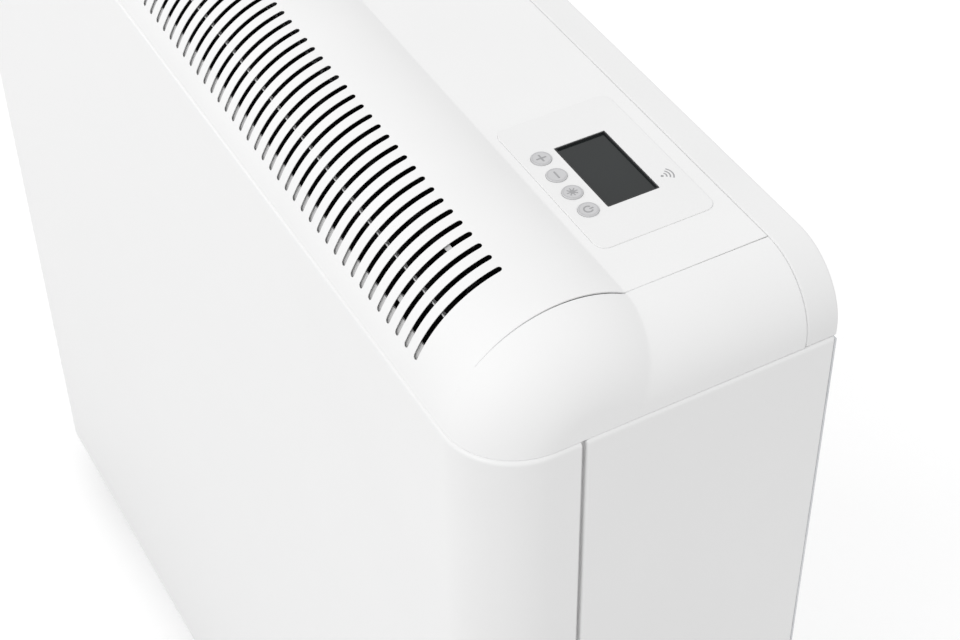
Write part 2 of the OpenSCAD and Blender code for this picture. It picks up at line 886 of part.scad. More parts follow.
module insulation_front() {
    color("wheat") block([room_x0, -room_y, store_z0], [room_x1, -store_y, store_z1]);
}

module insulation_back() {
    color("wheat") block([room_x0, store_y, store_z0], [room_x1, room_y, store_z1]);
}

module insulation_left() {
    color("wheat") block([room_x0, -store_y, store_z0], [store_x0, store_y, store_z1]);
}

module insulation_right() {
    color("wheat") difference() {
        block([store_x1, -store_y, store_z0], [room_x1, store_y, store_z1]);
        leg_rods(store_x1 - 1, room_x1 + 1, bush_r + fit);
        sensor_rod(store_x1 - 1, room_x1 + 1, sensor_r + fit);
    }
}

// the trough that spreads the air below the bricks, or gathers it above them
module air_trough(z0, z1) {
    block([store_x0 + 10, -air_d / 2, z0], [store_x1 - 10, air_d / 2, z1]);
}

module insulation_bottom() {
    color("wheat") difference() {
        block([room_x0, -room_y, room_z0], [room_x1, room_y, store_z0]);
        air_slot(room_z0 - 1, store_z0 + 1);
        air_trough(store_z0 - trough, store_z0 + 1);
    }
}

module insulation_top() {
    color("wheat") difference() {
        block([room_x0, -room_y, store_z1], [room_x1, room_y, room_z1]);
        air_slot(store_z1 - 1, room_z1 + 1);
        air_trough(store_z1 - 1, store_z1 + trough);
    }
}

// hairpin heating elements, drawn with radius r, legs ending at x1; a collar joins bend and leg
module hairpins(r, x1) {
    for (i = [0:2:brick_rows - 2]) translate([bend_x, 0, store_z0 + (i + 1) * brick_pz]) {
        for (s = [-1, 1]) {
            rod_x(collar / 4, x1 - bend_x, 0, s * bend_r, r);
            rod_x(-collar / 4, collar, 0, s * bend_r, r + collar_rise);
        }
        rotate([90, 0, 0]) rotate([0, 0, 90])
            rotate_extrude(angle = 180) translate([bend_r, 0]) circle(r);
    }
}

// one leaf of bricks: side is -1 for the front leaf, 1 for the back leaf
module brick_leaf(side) {
    depth = store_y - brick_joint / 2;
    difference() {
        for (col = [0:brick_columns - 1], row = [0:brick_rows - 1])
            translate([store_x0 + col * brick_px + brick_joint / 2,
                side > 0 ? brick_joint / 2 : -store_y, store_z0 + row * brick_pz])
                cube([brick_px - brick_joint, depth, brick_pz - brick_joint]);
        hairpins(element_r + 0.3, store_x1 + 1);
        for (col = [0:brick_columns - 1], k = [0.25, 0.75])
            translate([store_x0 + (col + k) * brick_px, 0, store_z0 - 1])
                cylinder(h = store_z1 - store_z0 + 2, r = channel_r);
        sensor_rod(store_x1 - brick_px / 2, store_x1 + 1, sensor_r + fit);
    }
}

module bricks_front() {
    color("saddlebrown") brick_leaf(-1);
}

module bricks_back() {
    color("saddlebrown") brick_leaf(1);
}

module heating_elements() {
    color("slategray") {
        hairpins(element_r, element_end);
        leg_rods(element_end, element_end + 10, element_r / 2);
    }
}

module element_bushes() {
    color("ivory") for (i = [0:brick_rows - 1])
        translate([0, 0, store_z0 + (i + 0.5) * brick_pz]) difference() {
            union() {
                rod_x(store_x1 + 2, shield_x + sheet + 3, 0, 0, bush_r);
                rod_x(shell_x1, shell_x1 + 3, 0, 0, bush_flange_r);
            }
            rod_x(store_x1, shield_x + 10, 0, 0, element_r + fit);
        }
}

module core_sensor() {
    color("slategray") {
        sensor_rod(store_x1 - brick_px / 2 + 1, shield_x + sheet, sensor_r);
        sensor_rod(shield_x + sheet, shield_x + sheet + 6, 2 * sensor_r);
    }
}

// ---------- fan ----------

module fan_housing() {
    t = scroll_t;
    half_d = air_d / 2;
    top = shelf_z - shelf_t;
    color("silver") difference() {
        union() {
            along_x(air_x - fan_side, air_x + fan_side) {
                difference() {
                    translate([0, fan_z]) circle(scroll_r + t, $fn = 128);
                    translate([0, fan_z]) circle(scroll_r, $fn = 128);
                    translate([-half_d, fan_z]) square([air_d, 2 * scroll_r]);
                    translate([-2 * scroll_r, fan_z - 18]) square([2 * scroll_r, 22]);
                }
                for (y = [-half_d - t, half_d])
                    translate([y, fan_z + sqrt(pow(scroll_r, 2) - pow(half_d, 2))])
                        square([t, top - fan_z - sqrt(pow(scroll_r, 2) - pow(half_d, 2))]);
                for (y = [-half_d - 12, half_d]) translate([y, top - t]) square([12, t]);
            }
            for (x = [air_x - fan_side, air_x + fan_side - 2])
                block([x, -scroll_r - 3, fan_z - scroll_r - 3], [x + 2, scroll_r + 3, top]);
        }
        for (s = [-1, 1]) rod_x(air_x + s * fan_side - 3, air_x + s * fan_side + 3, 0, fan_z,
            bearing_r + fit);
    }
}

module fan_bearings() {
    color("goldenrod") for (s = [0, 1]) translate([air_x, 0, 0]) mirror([s, 0, 0]) difference() {
        union() {
            rod_x(fan_side - 3, fan_side + bearing_l - 3, 0, fan_z, bearing_r);
            rod_x(fan_side, fan_side + 2, 0, fan_z, bearing_r + 3);
        }
        rod_x(fan_side - 4, fan_side + bearing_l, 0, fan_z, shaft_r + rub);
    }
}

module fan_shaft() {
    color("lightslategray")
        rod_x(air_x - fan_side - bearing_l, motor_x + motor_l - 8, 0, fan_z, shaft_r);
}

module fan_rotor() {
    disc_t = 1.5;
    half_l = air_l / 2 - 1;
    blade_t = 0.8;
    blade_l = 7;
    color("dimgray") translate([air_x, 0, fan_z]) difference() {
        union() {
            for (x = [-half_l, -disc_t / 2, half_l - disc_t]) rod_x(x, x + disc_t, 0, 0, fan_r);
            rod_x(-half_l, half_l, 0, 0, 2 * shaft_r);
            along_x(-half_l, half_l) for (i = [0:blades - 1])
                rotate(i * 360 / blades) translate([fan_r - blade_l - 0.5, -blade_t / 2])
                    square([blade_l, blade_t]);
        }
        rod_x(-half_l - 1, half_l + 1, 0, 0, shaft_r + 0.01);
    }
}

module fan_motor() {
    foot_l = 44;
    color("darkgray") difference() {
        union() {
            rod_x(motor_x, motor_x + motor_l, 0, fan_z, motor_r);
            block([motor_x + 4, -foot_l / 2, tray_top], [motor_x + motor_l - 4, foot_l / 2, fan_z]);
            block([motor_x + 4, -foot_l, tray_top], [motor_x + motor_l - 4, foot_l, tray_top + 3]);
        }
        rod_x(motor_x - 1, motor_x + motor_l - 6, 0, fan_z, shaft_r + rub);
    }
}

// ---------- damper and outlet ----------

module damper_frame() {
    w = damper_wall;
    color("silver") difference() {
        block([air_x0 - w - 1, -air_d / 2 - w, shell_z1], [air_x1 + w + 1, air_d / 2 + w, duct_z]);
        block([air_x0 - 1, -air_d / 2, shell_z1 - 1], [air_x1 + 1, air_d / 2, duct_z + 1]);
        rod_x(air_x0 - w - 2, air_x1 + w + 2, 0, damper_z, shaft_r + rub);
    }
}

module damper_flap() {
    half_d = air_d / 2 - 0.8;
    color("lightslategray") difference() {
        union() {
            block([air_x0, -half_d, damper_z - flap_t / 2], [air_x1, half_d, damper_z + flap_t / 2]);
            rod_x(air_x0, air_x1, 0, damper_z, shaft_r + 1.5);
        }
        rod_x(air_x0 - 1, air_x1 + 1, 0, damper_z, shaft_r + 0.01);
    }
}

module damper_shaft() {
    color("lightslategray") {
        rod_x(air_x0 - damper_wall - 3, shield_x + sheet + damper_motor_l - 8, 0, damper_z, shaft_r);
        rod_x(shell_x1 - 14, shell_x1 + 6, 0, damper_z, 2 * shaft_r);
    }
}

// a flat gear motor whose shaft sits above its centre
module damper_motor() {
    ear_l = 32;
    z = duct_z - 1 - damper_motor_r;
    color("darkgray") difference() {
        union() {
            rod_x(shield_x + sheet, shield_x + sheet + damper_motor_l, 0, z, damper_motor_r);
            block([shield_x + sheet, -ear_l, z - 6], [shield_x + sheet + 2, ear_l, z + 6]);
        }
        rod_x(shield_x, shield_x + sheet + damper_motor_l - 6, 0, damper_z, shaft_r + rub);
    }
}

module outlet_duct() {
    t = duct_t;
    top_y = crease_y - 2;
    top_z = deck_z - sheet - 0.3;
    knee_z = deck_z - 32;
    mouth_y = roll_y - roll_r + 16.2;
    mouth_z = low_z - 4;
    color("gray") difference() {
        union() {
            along_x(-duct_x, duct_x) {
                translate([duct_front, duct_z]) square([duct_back - duct_front, t]);
                polygon([[duct_front, duct_z], [duct_front + t, duct_z + t],
                    [mouth_y + t, mouth_z + t], [mouth_y, mouth_z]]);
                translate([duct_back - t, duct_z]) square([t, knee_z - duct_z]);
                polygon([[duct_back - t, knee_z - 1], [duct_back, knee_z - 1],
                    [top_y, top_z], [top_y - t, top_z]]);
            }
            for (x = [-duct_x - t, duct_x]) along_x(x, x + t)
                polygon([[duct_front, duct_z], [duct_back, duct_z], [duct_back, knee_z],
                    [top_y, top_z - 6], [mouth_y, mouth_z]]);
        }
        block([air_x0 - 1, -air_d / 2, duct_z - 1], [air_x1 + 1, air_d / 2, duct_z + t + 1]);
        rod_x(-duct_x - t - 1, duct_x + t + 1, boost_y, boost_z, boost_r + fit);
    }
}

module boost_element() {
    fins = floor(2 * (duct_x - 12) / fin_pitch);
    fin_t = 0.8;
    color("slategray") {
        rod_x(-duct_x - 8, duct_x + 8, boost_y, boost_z, boost_r);
        for (i = [0:fins]) rod_x((i - fins / 2) * fin_pitch - fin_t / 2,
            (i - fins / 2) * fin_pitch + fin_t / 2, boost_y, boost_z, fin_r);
    }
}

// ---------- cool compartment ----------

module heat_shield() {
    foot_l = 12;
    y0 = -shell_y;
    color("silver") difference() {
        union() {
            block([shield_x, y0, tray_top], [shield_x + sheet, shell_y, shield_z1]);
            block([shield_x - foot_l, -foot_half_l, tray_top],
                [shield_x + sheet, foot_half_l, tray_top + sheet]);
        }
        leg_rods(shield_x - 1, shield_x + sheet + 1, bush_r + fit);
        sensor_rod(shield_x - 1, shield_x + sheet + 1, sensor_r + fit);
        rod_x(shield_x - 1, shield_x + sheet + 1, 0, damper_z, 2 * shaft_r);
        block([shield_x - 1, y_front, duct_z - 2],
            [shield_x + sheet + 1, duct_back + 2, shield_z1 + 1]);
    }
}

module board_carrier() {
    x0 = shield_x + sheet;
    z0 = carrier_z;
    z1 = carrier_z + carrier_h;
    t = 2;
    lug = 8;
    color("ivory") {
        block([carrier_x, -carrier_y, z0], [carrier_x + t, carrier_y, z1]);
        for (s = [0, 1]) mirror([0, s, 0]) {
            block([x0, carrier_y - t, z0], [carrier_x + t, carrier_y, z1]);
            block([x0, carrier_y - t, z0], [x0 + t, carrier_y + lug, z1]);
        }
        for (y = [-carrier_y + 8, carrier_y - 8], z = [z0 + 10, z1 - 10])
            rod_x(carrier_x, pcb_x, y, z, 3);
    }
}

module control_board() {
    color("seagreen") block([pcb_x, -carrier_y + 2, carrier_z + 4],
        [pcb_x + board_t, carrier_y - 2, carrier_z + carrier_h - 4]);
}

module board_parts() {
    x0 = pcb_x + board_t;
    gap = 8;
    relay = [16, 20, 24];
    transformer = [24, 34, 40];
    capacitor = [5, 20];
    socket = [12, 28, 10];
    z0 = carrier_z + 20;
    color("black") {
        for (i = [0:2]) translate([x0, -carrier_y + gap, z0 + i * (relay[2] + gap)]) cube(relay);
        translate([x0, gap / 2, z0]) cube(transformer);
        for (i = [0:2])
            translate([x0, 12 + i * 13, z0 + transformer[2] + 30]) rotate([0, 90, 0])
                cylinder(h = capacitor[1], r = capacitor[0]);
        for (i = [0:1])
            translate([x0, -30 + i * (socket[1] + 12), carrier_z + carrier_h - 34]) cube(socket);
    }
}

module terminal_block() {
    x0 = shield_x + sheet;
    poles = 5;
    pole_w = 12;
    z0 = tray_top + 40;
    color("ivory") difference() {
        block([x0, -poles * pole_w / 2, z0], [x0 + 20, poles * pole_w / 2, z0 + 24]);
        for (i = [0:poles - 1]) translate([x0 + 12, (i - (poles - 1) / 2) * pole_w, z0 - 1])
            cylinder(h = 26, r = 3);
    }
}

module cable_gland() {
    nut_h = 5;
    collar_h = 6;
    drop = 14;
    color("black") translate([gland_x, gland_y, tray_z]) difference() {
        union() {
            translate([0, 0, -drop]) cylinder(h = drop + base_t + nut_h + 4, r = gland_r);
            translate([0, 0, -collar_h]) cylinder(h = collar_h, r = gland_r + 4, $fn = 6);
            translate([0, 0, base_t]) cylinder(h = nut_h, r = gland_r + 4, $fn = 6);
        }
        translate([0, 0, -drop - 1]) cylinder(h = drop + base_t + nut_h + 6, r = gland_bore);
    }
}

module thermal_cutout() {
    x0 = shield_x + sheet;
    color("ivory") difference() {
        union() {
            rod_x(x0, x0 + cutout_l, cutout_y, cutout_z, cutout_r);
            block([x0, cutout_y - 16, cutout_z - 6], [x0 + 1.5, cutout_y + 16, cutout_z + 6]);
        }
        rod_x(x0 + 4, x0 + cutout_l + 1, cutout_y, cutout_z, button_r + 0.06);
    }
}

module reset_button() {
    x0 = shield_x + sheet;
    color("firebrick") rod_x(x0 + 4 + button_travel + 0.3, x0 + cutout_l + button_travel + 1,
        cutout_y, cutout_z, button_r);
}

module room_sensor() {
    x = half_w - sheet - 30;
    color("white") block([x - 5, 26 - shell_y, tray_top], [x + 5, 40 - shell_y, tray_top + 26]);
}

front_panel();
side_panel_left();
side_panel_right();
back_panel();
rear_rail();
base_tray();
foot_left();
foot_right();
foot_bolts();
casing_screws();
top_cover();
end_cap_left();
end_cap_right();
front_rail();
grille_stay();
grille_bracket();
control_fascia();
lcd_lens();
lcd_module();
key_plus();
key_minus();
key_mode();
key_power();
display_board();
tact_switches();
board_screws();
core_frame();
inner_shell();
inner_front();
insulation_front();
insulation_back();
insulation_left();
insulation_right();
insulation_bottom();
insulation_top();
bricks_front();
bricks_back();
heating_elements();
element_bushes();
fan_housing();
fan_bearings();
fan_shaft();
fan_rotor();
fan_motor();
damper_frame();
damper_flap();
damper_shaft();
damper_motor();
outlet_duct();
boost_element();
heat_shield();
board_carrier();
control_board();
board_parts();
terminal_block();
cable_gland();
thermal_cutout();
reset_button();
core_sensor();
room_sensor();
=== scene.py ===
"""Looks of the storage heater: smooth painted casing, slotted top, controls, studio and camera.

Front is -Y, the wall side is +Y, right is +X. Lengths in this script are millimetres;
add_piece turns them into metres.
"""

import math
import bmesh
import bpy
from mathutils import Matrix, Vector
from mathutils.geometry import tessellate_polygon

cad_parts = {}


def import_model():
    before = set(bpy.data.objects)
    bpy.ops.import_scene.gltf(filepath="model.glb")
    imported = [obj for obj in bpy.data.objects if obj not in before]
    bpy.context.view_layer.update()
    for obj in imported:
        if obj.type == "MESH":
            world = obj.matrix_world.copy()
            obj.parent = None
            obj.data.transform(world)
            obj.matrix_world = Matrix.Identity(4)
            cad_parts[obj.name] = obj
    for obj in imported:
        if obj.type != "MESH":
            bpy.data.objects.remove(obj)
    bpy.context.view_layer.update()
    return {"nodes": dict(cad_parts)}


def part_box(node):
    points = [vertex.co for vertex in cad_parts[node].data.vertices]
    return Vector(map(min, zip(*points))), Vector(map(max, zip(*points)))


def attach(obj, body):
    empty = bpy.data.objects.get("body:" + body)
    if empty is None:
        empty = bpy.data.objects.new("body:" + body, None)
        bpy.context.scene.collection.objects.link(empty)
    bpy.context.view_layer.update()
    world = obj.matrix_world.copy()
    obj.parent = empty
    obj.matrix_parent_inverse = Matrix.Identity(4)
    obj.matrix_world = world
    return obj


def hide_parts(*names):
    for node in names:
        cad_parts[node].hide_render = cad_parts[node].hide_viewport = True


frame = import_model()
NODES = frame["nodes"]
MM = 0.001


def low(node):
    """Lowest corner of a CAD node, in millimetres."""
    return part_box(node)[0] / MM


def high(node):
    """Highest corner of a CAD node, in millimetres."""
    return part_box(node)[1] / MM


def centre(node):
    """Middle of a CAD node in plan."""
    middle = (low(node) + high(node)) / 2
    return middle.x, middle.y


# ---------- sizes ----------

# casing
SHEET = 1.2
SHEET_ROUND = 0.2
SHEET_ANGLE = 60
SIDE_GAP = 1.6
FRONT_SHORT = 0.9
HALF_W = high("front_panel").x
Y_FRONT = low("front_panel").y
Y_GAP = high("front_panel").y - FRONT_SHORT
Y_BACK = high("rear_rail").y
FLOOR_Z = low("front_panel").z
LOW_Z = high("front_panel").z
SIDE_Y0 = high("front_panel").y + SIDE_GAP
SIDE_Y1 = high("side_panel_right").y
FOLD_R = 2.0
FOLD_LEAST_R = 0.02
LIP_DEPTH = 3.2
FLANGE = 12.0
CORNER_R = 36.0

# rounded top
DECK_Z = high("rear_rail").z
CROWN_Z = high("top_cover").z
ROLL_R = 62.2
ROLL_Z = CROWN_Z - ROLL_R
COVER_LOW = math.asin((LOW_Z - ROLL_Z) / ROLL_R)
ROLL_Y = low("top_cover").y + ROLL_R * math.cos(COVER_LOW)
CREASE_R = 2.5
CREASE_GROWTH = 0.15
CREASE_Y = ROLL_Y + math.sqrt(ROLL_R ** 2 - (DECK_Z - ROLL_Z) ** 2)
COVER_END = high("top_cover").x
DECK_BACK = high("top_cover").y
DECK_STRIP = 1.0
RAIL_GAP = 0.1
RAIL_Y0 = DECK_BACK + RAIL_GAP
RAIL_ROUND = 1.2
CAP_HALF = high("end_cap_right").x
CAP_WALL = 2.5

# rounding of the top's edges, its share on the finer ones, and how near counts as on an edge
TOP_ROUND = 0.5
FINE_SHARE = 0.4
EDGE_NEAR = 0.1

# seam between top cover and end cap: narrow on the deck, widest where the dome starts
SEAM_STEP = 0.15
SEAM_X = COVER_END + SEAM_STEP
SEAM_GAP = 0.12
DOME_GAP = 1.3
CLOSED_GAP = 0.02
EVEN_Y = CREASE_Y + 1
WIDEST_Y = CREASE_Y - 2
DOME_CLOSED = math.radians(46)
CLOSED_Y = ROLL_Y - ROLL_R * math.cos(DOME_CLOSED)

# an edge is on the closed part within this distance of the seam and above this height
SEAM_BAND = 1.0
SEAM_FOOT = 0.5

# steps of the meshes: up the whole roll and below and above its slits, along the deck, and
# round a cap, a front corner and a fold
ROLL_STEPS = 48
LOWER_STEPS, UPPER_STEPS = 6, 20
DECK_STEPS = 12
CAP_STEPS = 24
FRONT_STEPS = 32
FOLD_STEPS = 8

# grille
SLIT_W = 3.2
SLIT_COUNT = 71
SLIT_PITCH = 9.11
SLIT_LOW = math.radians(24.6)
SLIT_HIGH = math.radians(79.3)
SLIT_MARGIN = math.radians(3)

# controls
KEYS = {"key_plus": "plus", "key_minus": "minus", "key_mode": "mode", "key_power": "power"}
FASCIA_W = 99.5
FASCIA_R = 6.0
FASCIA_GAP = 0.04
FASCIA_TOP = high("control_fascia").z
FASCIA_X = (low("control_fascia").x + high("control_fascia").x) / 2
FASCIA_Y = (low("control_fascia").y + high("control_fascia").y) / 2
FASCIA_EDGE = 3.0
FASCIA_L = high("control_fascia").y - low("control_fascia").y - 2 * FASCIA_EDGE
FASCIA_DEPTH = 3.1
FASCIA_LOW = FASCIA_TOP - FASCIA_DEPTH
FASCIA_STEP = DECK_Z - SHEET
FASCIA_ROUND = 0.35
POST_R = 2.5
POST_BORE = 1.3
POST_INSET = (8.0, 8.5)
POST_SINK = 0.2
SCREEN_W, SCREEN_L = 49.9, 28.4
SCREEN_R = 0.5
SCREEN_PLAY = 0.3
SCREEN_BORDER = 0.8
SCREEN_DEPTH = 1.1
LINER_R = 0.4
LINER_ROUND = 0.1
DISPLAY_R = 0.3
KEY_R = 5.1
KEY_GAP = 0.05
KEY_FLANGE_R = 6.2
KEY_STEM_R = 1.5
KEY_FLANGE_T = 0.8
KEY_ROUND = 0.3
KEY_RING = 0.9
KEY_DISH = 0.15
KEY_SIGN_FOOT = 2 * KEY_DISH
KEY_SIGN_FACE = KEY_DISH / 3

# printed signs: reach and half width of their strokes, radii of the curved ones
PRINT_T = 0.03
PRINT_SINK = 0.1
CURVE_HALF = 0.35
PLUS_REACH, PLUS_HALF = 2.7, 0.4
MODE_REACH, MODE_HALF, MODE_HUB, MODE_ARMS = 2.8, 0.28, 1.25, 8
POWER_R = 2.1
POWER_OPENING = math.radians(38)
POWER_BAR_Y, POWER_BAR_L = 1.7, 2.0
WAVE_RADII = (2.2, 3.9, 5.6)
WAVE_SPREAD = math.radians(42)
WAVE_DOT_R = 0.75
SIGN_X, SIGN_Y = 292.8, 57.9


# ---------- mesh helpers ----------

def add_piece(name, verts, faces, smooth=35):
    """A mesh object from millimetre corners, shaded smooth up to an angle in degrees."""
    mesh = bpy.data.meshes.new(name)
    mesh.from_pydata([Vector(v) * MM for v in verts], [], faces)
    mesh.validate()
    piece = bpy.data.objects.new(name, mesh)
    bpy.context.scene.collection.objects.link(piece)
    weld(piece)
    mesh.shade_smooth()
    mesh.set_sharp_from_angle(angle=math.radians(smooth))
    return piece


def weld(piece, distance=0.002):
    """Joins corners that lie on each other and makes the faces look outward."""
    shape = bmesh.new()
    shape.from_mesh(piece.data)
    bmesh.ops.remove_doubles(shape, verts=shape.verts, dist=distance * MM)
    bmesh.ops.recalc_face_normals(shape, faces=shape.faces)
    shape.to_mesh(piece.data)
    shape.free()


def thicken(piece, thickness):
    """Gives a sheet its thickness, inward."""
    solid = piece.modifiers.new("thickness", "SOLIDIFY")
    solid.thickness = thickness * MM
    solid.offset = -1
    solid.use_even_offset = True
    solid.use_quality_normals = True
    return solid


def soften(piece, width, segments=2, angle=40):
    """Rounds the edges sharper than an angle, and keeps large faces flat."""
    edge = piece.modifiers.new("edges", "BEVEL")
    edge.width = width * MM
    edge.segments = segments
    edge.limit_method = "ANGLE"
    edge.angle_limit = math.radians(angle)
    edge.use_clamp_overlap = False
    edge.harden_normals = True
    return edge


def soften_rims(piece, width, share):
    """Rounds the open edges of a sheet; share(x, y, z) is the part of the width that each gets."""
    weights = piece.data.attributes.new("bevel_weight_edge", "FLOAT", "EDGE")
    uses = {}
    for face in piece.data.polygons:
        for key in face.edge_keys:
            uses[key] = uses.get(key, 0) + 1
    corners = piece.data.vertices
    for edge in piece.data.edges:
        a, b = edge.vertices
        if uses.get(tuple(sorted((a, b))), 0) == 1:
            weight = share(*(corners[a].co + corners[b].co) / 2 / MM)
            weights.data[edge.index].value = weight
            edge.use_edge_sharp = weight == 0
    soften(piece, width, 3).limit_method = "WEIGHT"


def closed_seam(x, y, z):
    """Whether a place is on the closed part of the seam, low on the dome, which shows no line."""
    beside = SEAM_X - SEAM_BAND < abs(x) < SEAM_X + SEAM_BAND
    return beside and y < CLOSED_Y and z > LOW_Z + SEAM_FOOT


def cover_rounding(x, y, z):
    """Share of the edge rounding on the top cover: full at its ends and back, fine elsewhere."""
    if closed_seam(x, y, z):
        return 0.0
    if y > DECK_BACK - EDGE_NEAR or abs(x) > COVER_END - EDGE_NEAR:
        return 1.0
    return FINE_SHARE


def cap_rounding(x, y, z):
    """Share of the edge rounding at a place on an end cap's open edges."""
    return 0.0 if closed_seam(x, y, z) else 1.0


def flatten(piece):
    """Shades by face area, so that a large face stays flat beside a small rounded edge."""
    weighted = piece.modifiers.new("shading", "WEIGHTED_NORMAL")
    weighted.keep_sharp = True


def dress(piece, body, slot, material, *replaced):
    """Gives a piece its material and body, and hides the CAD nodes that it stands for; slot is not
    used.
    """
    piece.data.materials.clear()
    piece.data.materials.append(material)
    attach(piece, body)
    if replaced:
        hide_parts(*replaced)


def grid(rows):
    """Corners and quads that join equally long rows of points."""
    verts = [p for row in rows for p in row]
    n = len(rows[0])
    faces = []
    for i in range(len(rows) - 1):
        a, b = i * n, (i + 1) * n
        faces += [(a + k, a + k + 1, b + k + 1, b + k) for k in range(n - 1)]
    return verts, faces


def steps(a, b, count):
    """Evenly spaced values from a to b."""
    return [a + (b - a) * i / count for i in range(count + 1)]


def arc(cx, cy, r, a0, a1, count):
    """Points of an arc in a plane, angles in radians."""
    return [(cx + r * math.cos(a), cy + r * math.sin(a)) for a in steps(a0, a1, count)]


def ring(cx, cy, r, count=64):
    """A closed circle of points."""
    return arc(cx, cy, r, 0, 2 * math.pi * (count - 1) / count, count - 1)


CORNERS = ((1, 1), (-1, 1), (-1, -1), (1, -1))


def round_rect(cx, cy, w, l, r, count=8):
    """Outline of a rectangle with round corners."""
    quarter = math.pi / 2
    outline = []
    for k, (sx, sy) in enumerate(CORNERS):
        x, y = cx + sx * (w / 2 - r), cy + sy * (l / 2 - r)
        outline += arc(x, y, r, k * quarter, (k + 1) * quarter, count)
    return outline


def rect_edge(cx, cy, w, l, r, count=8):
    """A rounded rectangle that can be grown by a margin."""
    return lambda grow: round_rect(cx, cy, w + 2 * grow, l + 2 * grow, r + grow, count)


def ring_edge(cx, cy, r, count=64):
    """A circle that can be grown by a margin."""
    return lambda grow: ring(cx, cy, r + grow, count)


def fixed_edge(outline):
    """An outline with sharp edges, which doesn't grow."""
    return lambda grow: outline


def plate(name, edges, z0, z1, rounding=0.0):
    """A flat plate between two heights; the first edge is its outside, the others are holes.

    The rounding is the radius of its upper edges; holes open out by it, the outside draws in.
    """
    levels = [(z0, 0.0)]
    if rounding:
        levels += [(z1 - rounding + rounding * math.sin(a), rounding * (1 - math.cos(a)))
                   for a in steps(0, math.pi / 2, 4)]
    else:
        levels.append((z1, 0.0))
    signs = [-1] + [1] * (len(edges) - 1)
    verts, faces = [], []
    rims = {}
    for edge, sign in zip(edges, signs):
        rows = [[(x, y, z) for x, y in edge(sign * inset)] for z, inset in levels]
        wall = grid([row + row[:1] for row in rows])
        base = len(verts)
        verts += wall[0]
        faces += [tuple(base + i for i in face) for face in wall[1]]
        for end in (0, -1):
            rims.setdefault(end, []).append([Vector(p) for p in rows[end]])
    for loops in rims.values():
        base = len(verts)
        verts += [tuple(p) for loop in loops for p in loop]
        faces += [tuple(base + i for i in t) for t in tessellate_polygon(loops)]
    piece = add_piece(name, verts, faces)
    flatten(piece)
    return piece


def lathe(name, x, y, profile, count=64):
    """A body turned about an upright axis, from (radius, height) points."""
    rows = []
    for a in steps(0, 2 * math.pi, count):
        rows.append([(x + r * math.cos(a), y + r * math.sin(a), z) for r, z in profile])
    verts, faces = grid(rows)
    return add_piece(name, verts, faces)


# ---------- material helpers ----------

def new_material(name, colour, roughness, metallic=0.0, specular=0.5):
    """A Principled material; returns it with its node tree and shader."""
    material = bpy.data.materials.new(name)
    material.use_nodes = True
    shader = material.node_tree.nodes["Principled BSDF"]
    shader.inputs["Base Color"].default_value = (*colour, 1)
    shader.inputs["Roughness"].default_value = roughness
    shader.inputs["Metallic"].default_value = metallic
    shader.inputs["Specular IOR Level"].default_value = specular
    return material, material.node_tree, shader


def add_node(tree, kind, **inputs):
    """A shader node with its input values set."""
    node = tree.nodes.new(kind)
    for key, value in inputs.items():
        node.inputs[key.replace("_", " ")].default_value = value
    return node


def object_noise(tree, scale, detail=2.0, stretch=(1, 1, 1)):
    """Noise in object space, so that it stays on the surface; scale is in cycles per metre."""
    place = tree.nodes.new("ShaderNodeTexCoord")
    mapping = tree.nodes.new("ShaderNodeMapping")
    mapping.inputs["Scale"].default_value = stretch
    noise = add_node(tree, "ShaderNodeTexNoise", Scale=scale, Detail=detail)
    tree.links.new(place.outputs["Object"], mapping.inputs["Vector"])
    tree.links.new(mapping.outputs["Vector"], noise.inputs["Vector"])
    return noise


NOISE_LOW, NOISE_HIGH = 0.3, 0.7


def colour_range(tree, source, shader, dark, light):
    """Lets the colour run between two with a noise."""
    ramp = tree.nodes.new("ShaderNodeValToRGB")
    first, last = ramp.color_ramp.elements
    first.position, last.position = NOISE_LOW, NOISE_HIGH
    first.color, last.color = (*dark, 1), (*light, 1)
    tree.links.new(source.outputs["Fac"], ramp.inputs["Fac"])
    tree.links.new(ramp.outputs["Color"], shader.inputs["Base Color"])


def roughness_range(tree, source, shader, lowest, highest):
    """Lets the roughness run between two values with a noise."""
    span = add_node(tree, "ShaderNodeMapRange", From_Min=NOISE_LOW, From_Max=NOISE_HIGH,
                    To_Min=lowest, To_Max=highest)
    tree.links.new(source.outputs["Fac"], span.inputs["Value"])
    tree.links.new(span.outputs["Result"], shader.inputs["Roughness"])


def bumps(tree, source, shader, depth):
    """Raises the surface by a noise; depth is in millimetres."""
    bump = add_node(tree, "ShaderNodeBump", Strength=1.0, Distance=depth * MM)
    tree.links.new(source.outputs["Fac"], bump.inputs["Height"])
    tree.links.new(bump.outputs["Normal"], shader.inputs["Normal"])


def uneven(tree, shader, colour, roughness, scale, spread, play):
    """A trace of unevenness in tone and gloss, both from one slow noise."""
    cloud = object_noise(tree, scale)
    darker = [c * (1 - spread) for c in colour]
    lighter = [min(1, c * (1 + spread)) for c in colour]
    colour_range(tree, cloud, shader, darker, lighter)
    roughness_range(tree, cloud, shader, roughness - play, roughness + play)


def painted(name, colour, roughness, peel=420, depth=0.02, cloud=9, spread=0.012, play=0.04):
    """Powder coat: fine orange peel, and a trace of unevenness in its tone and gloss."""
    material, tree, shader = new_material(name, colour, roughness)
    bumps(tree, object_noise(tree, peel), shader, depth)
    uneven(tree, shader, colour, roughness, cloud, spread, play)
    return material


def moulded(name, colour, roughness, grain=900, depth=0.008, cloud=14, spread=0.01, play=0.05,
            specular=0.5):
    """Moulded plastic: a very fine spark-eroded grain and a faint variation of gloss."""
    material, tree, shader = new_material(name, colour, roughness, specular=specular)
    bumps(tree, object_noise(tree, grain, detail=3), shader, depth)
    uneven(tree, shader, colour, roughness, cloud, spread, play)
    return material


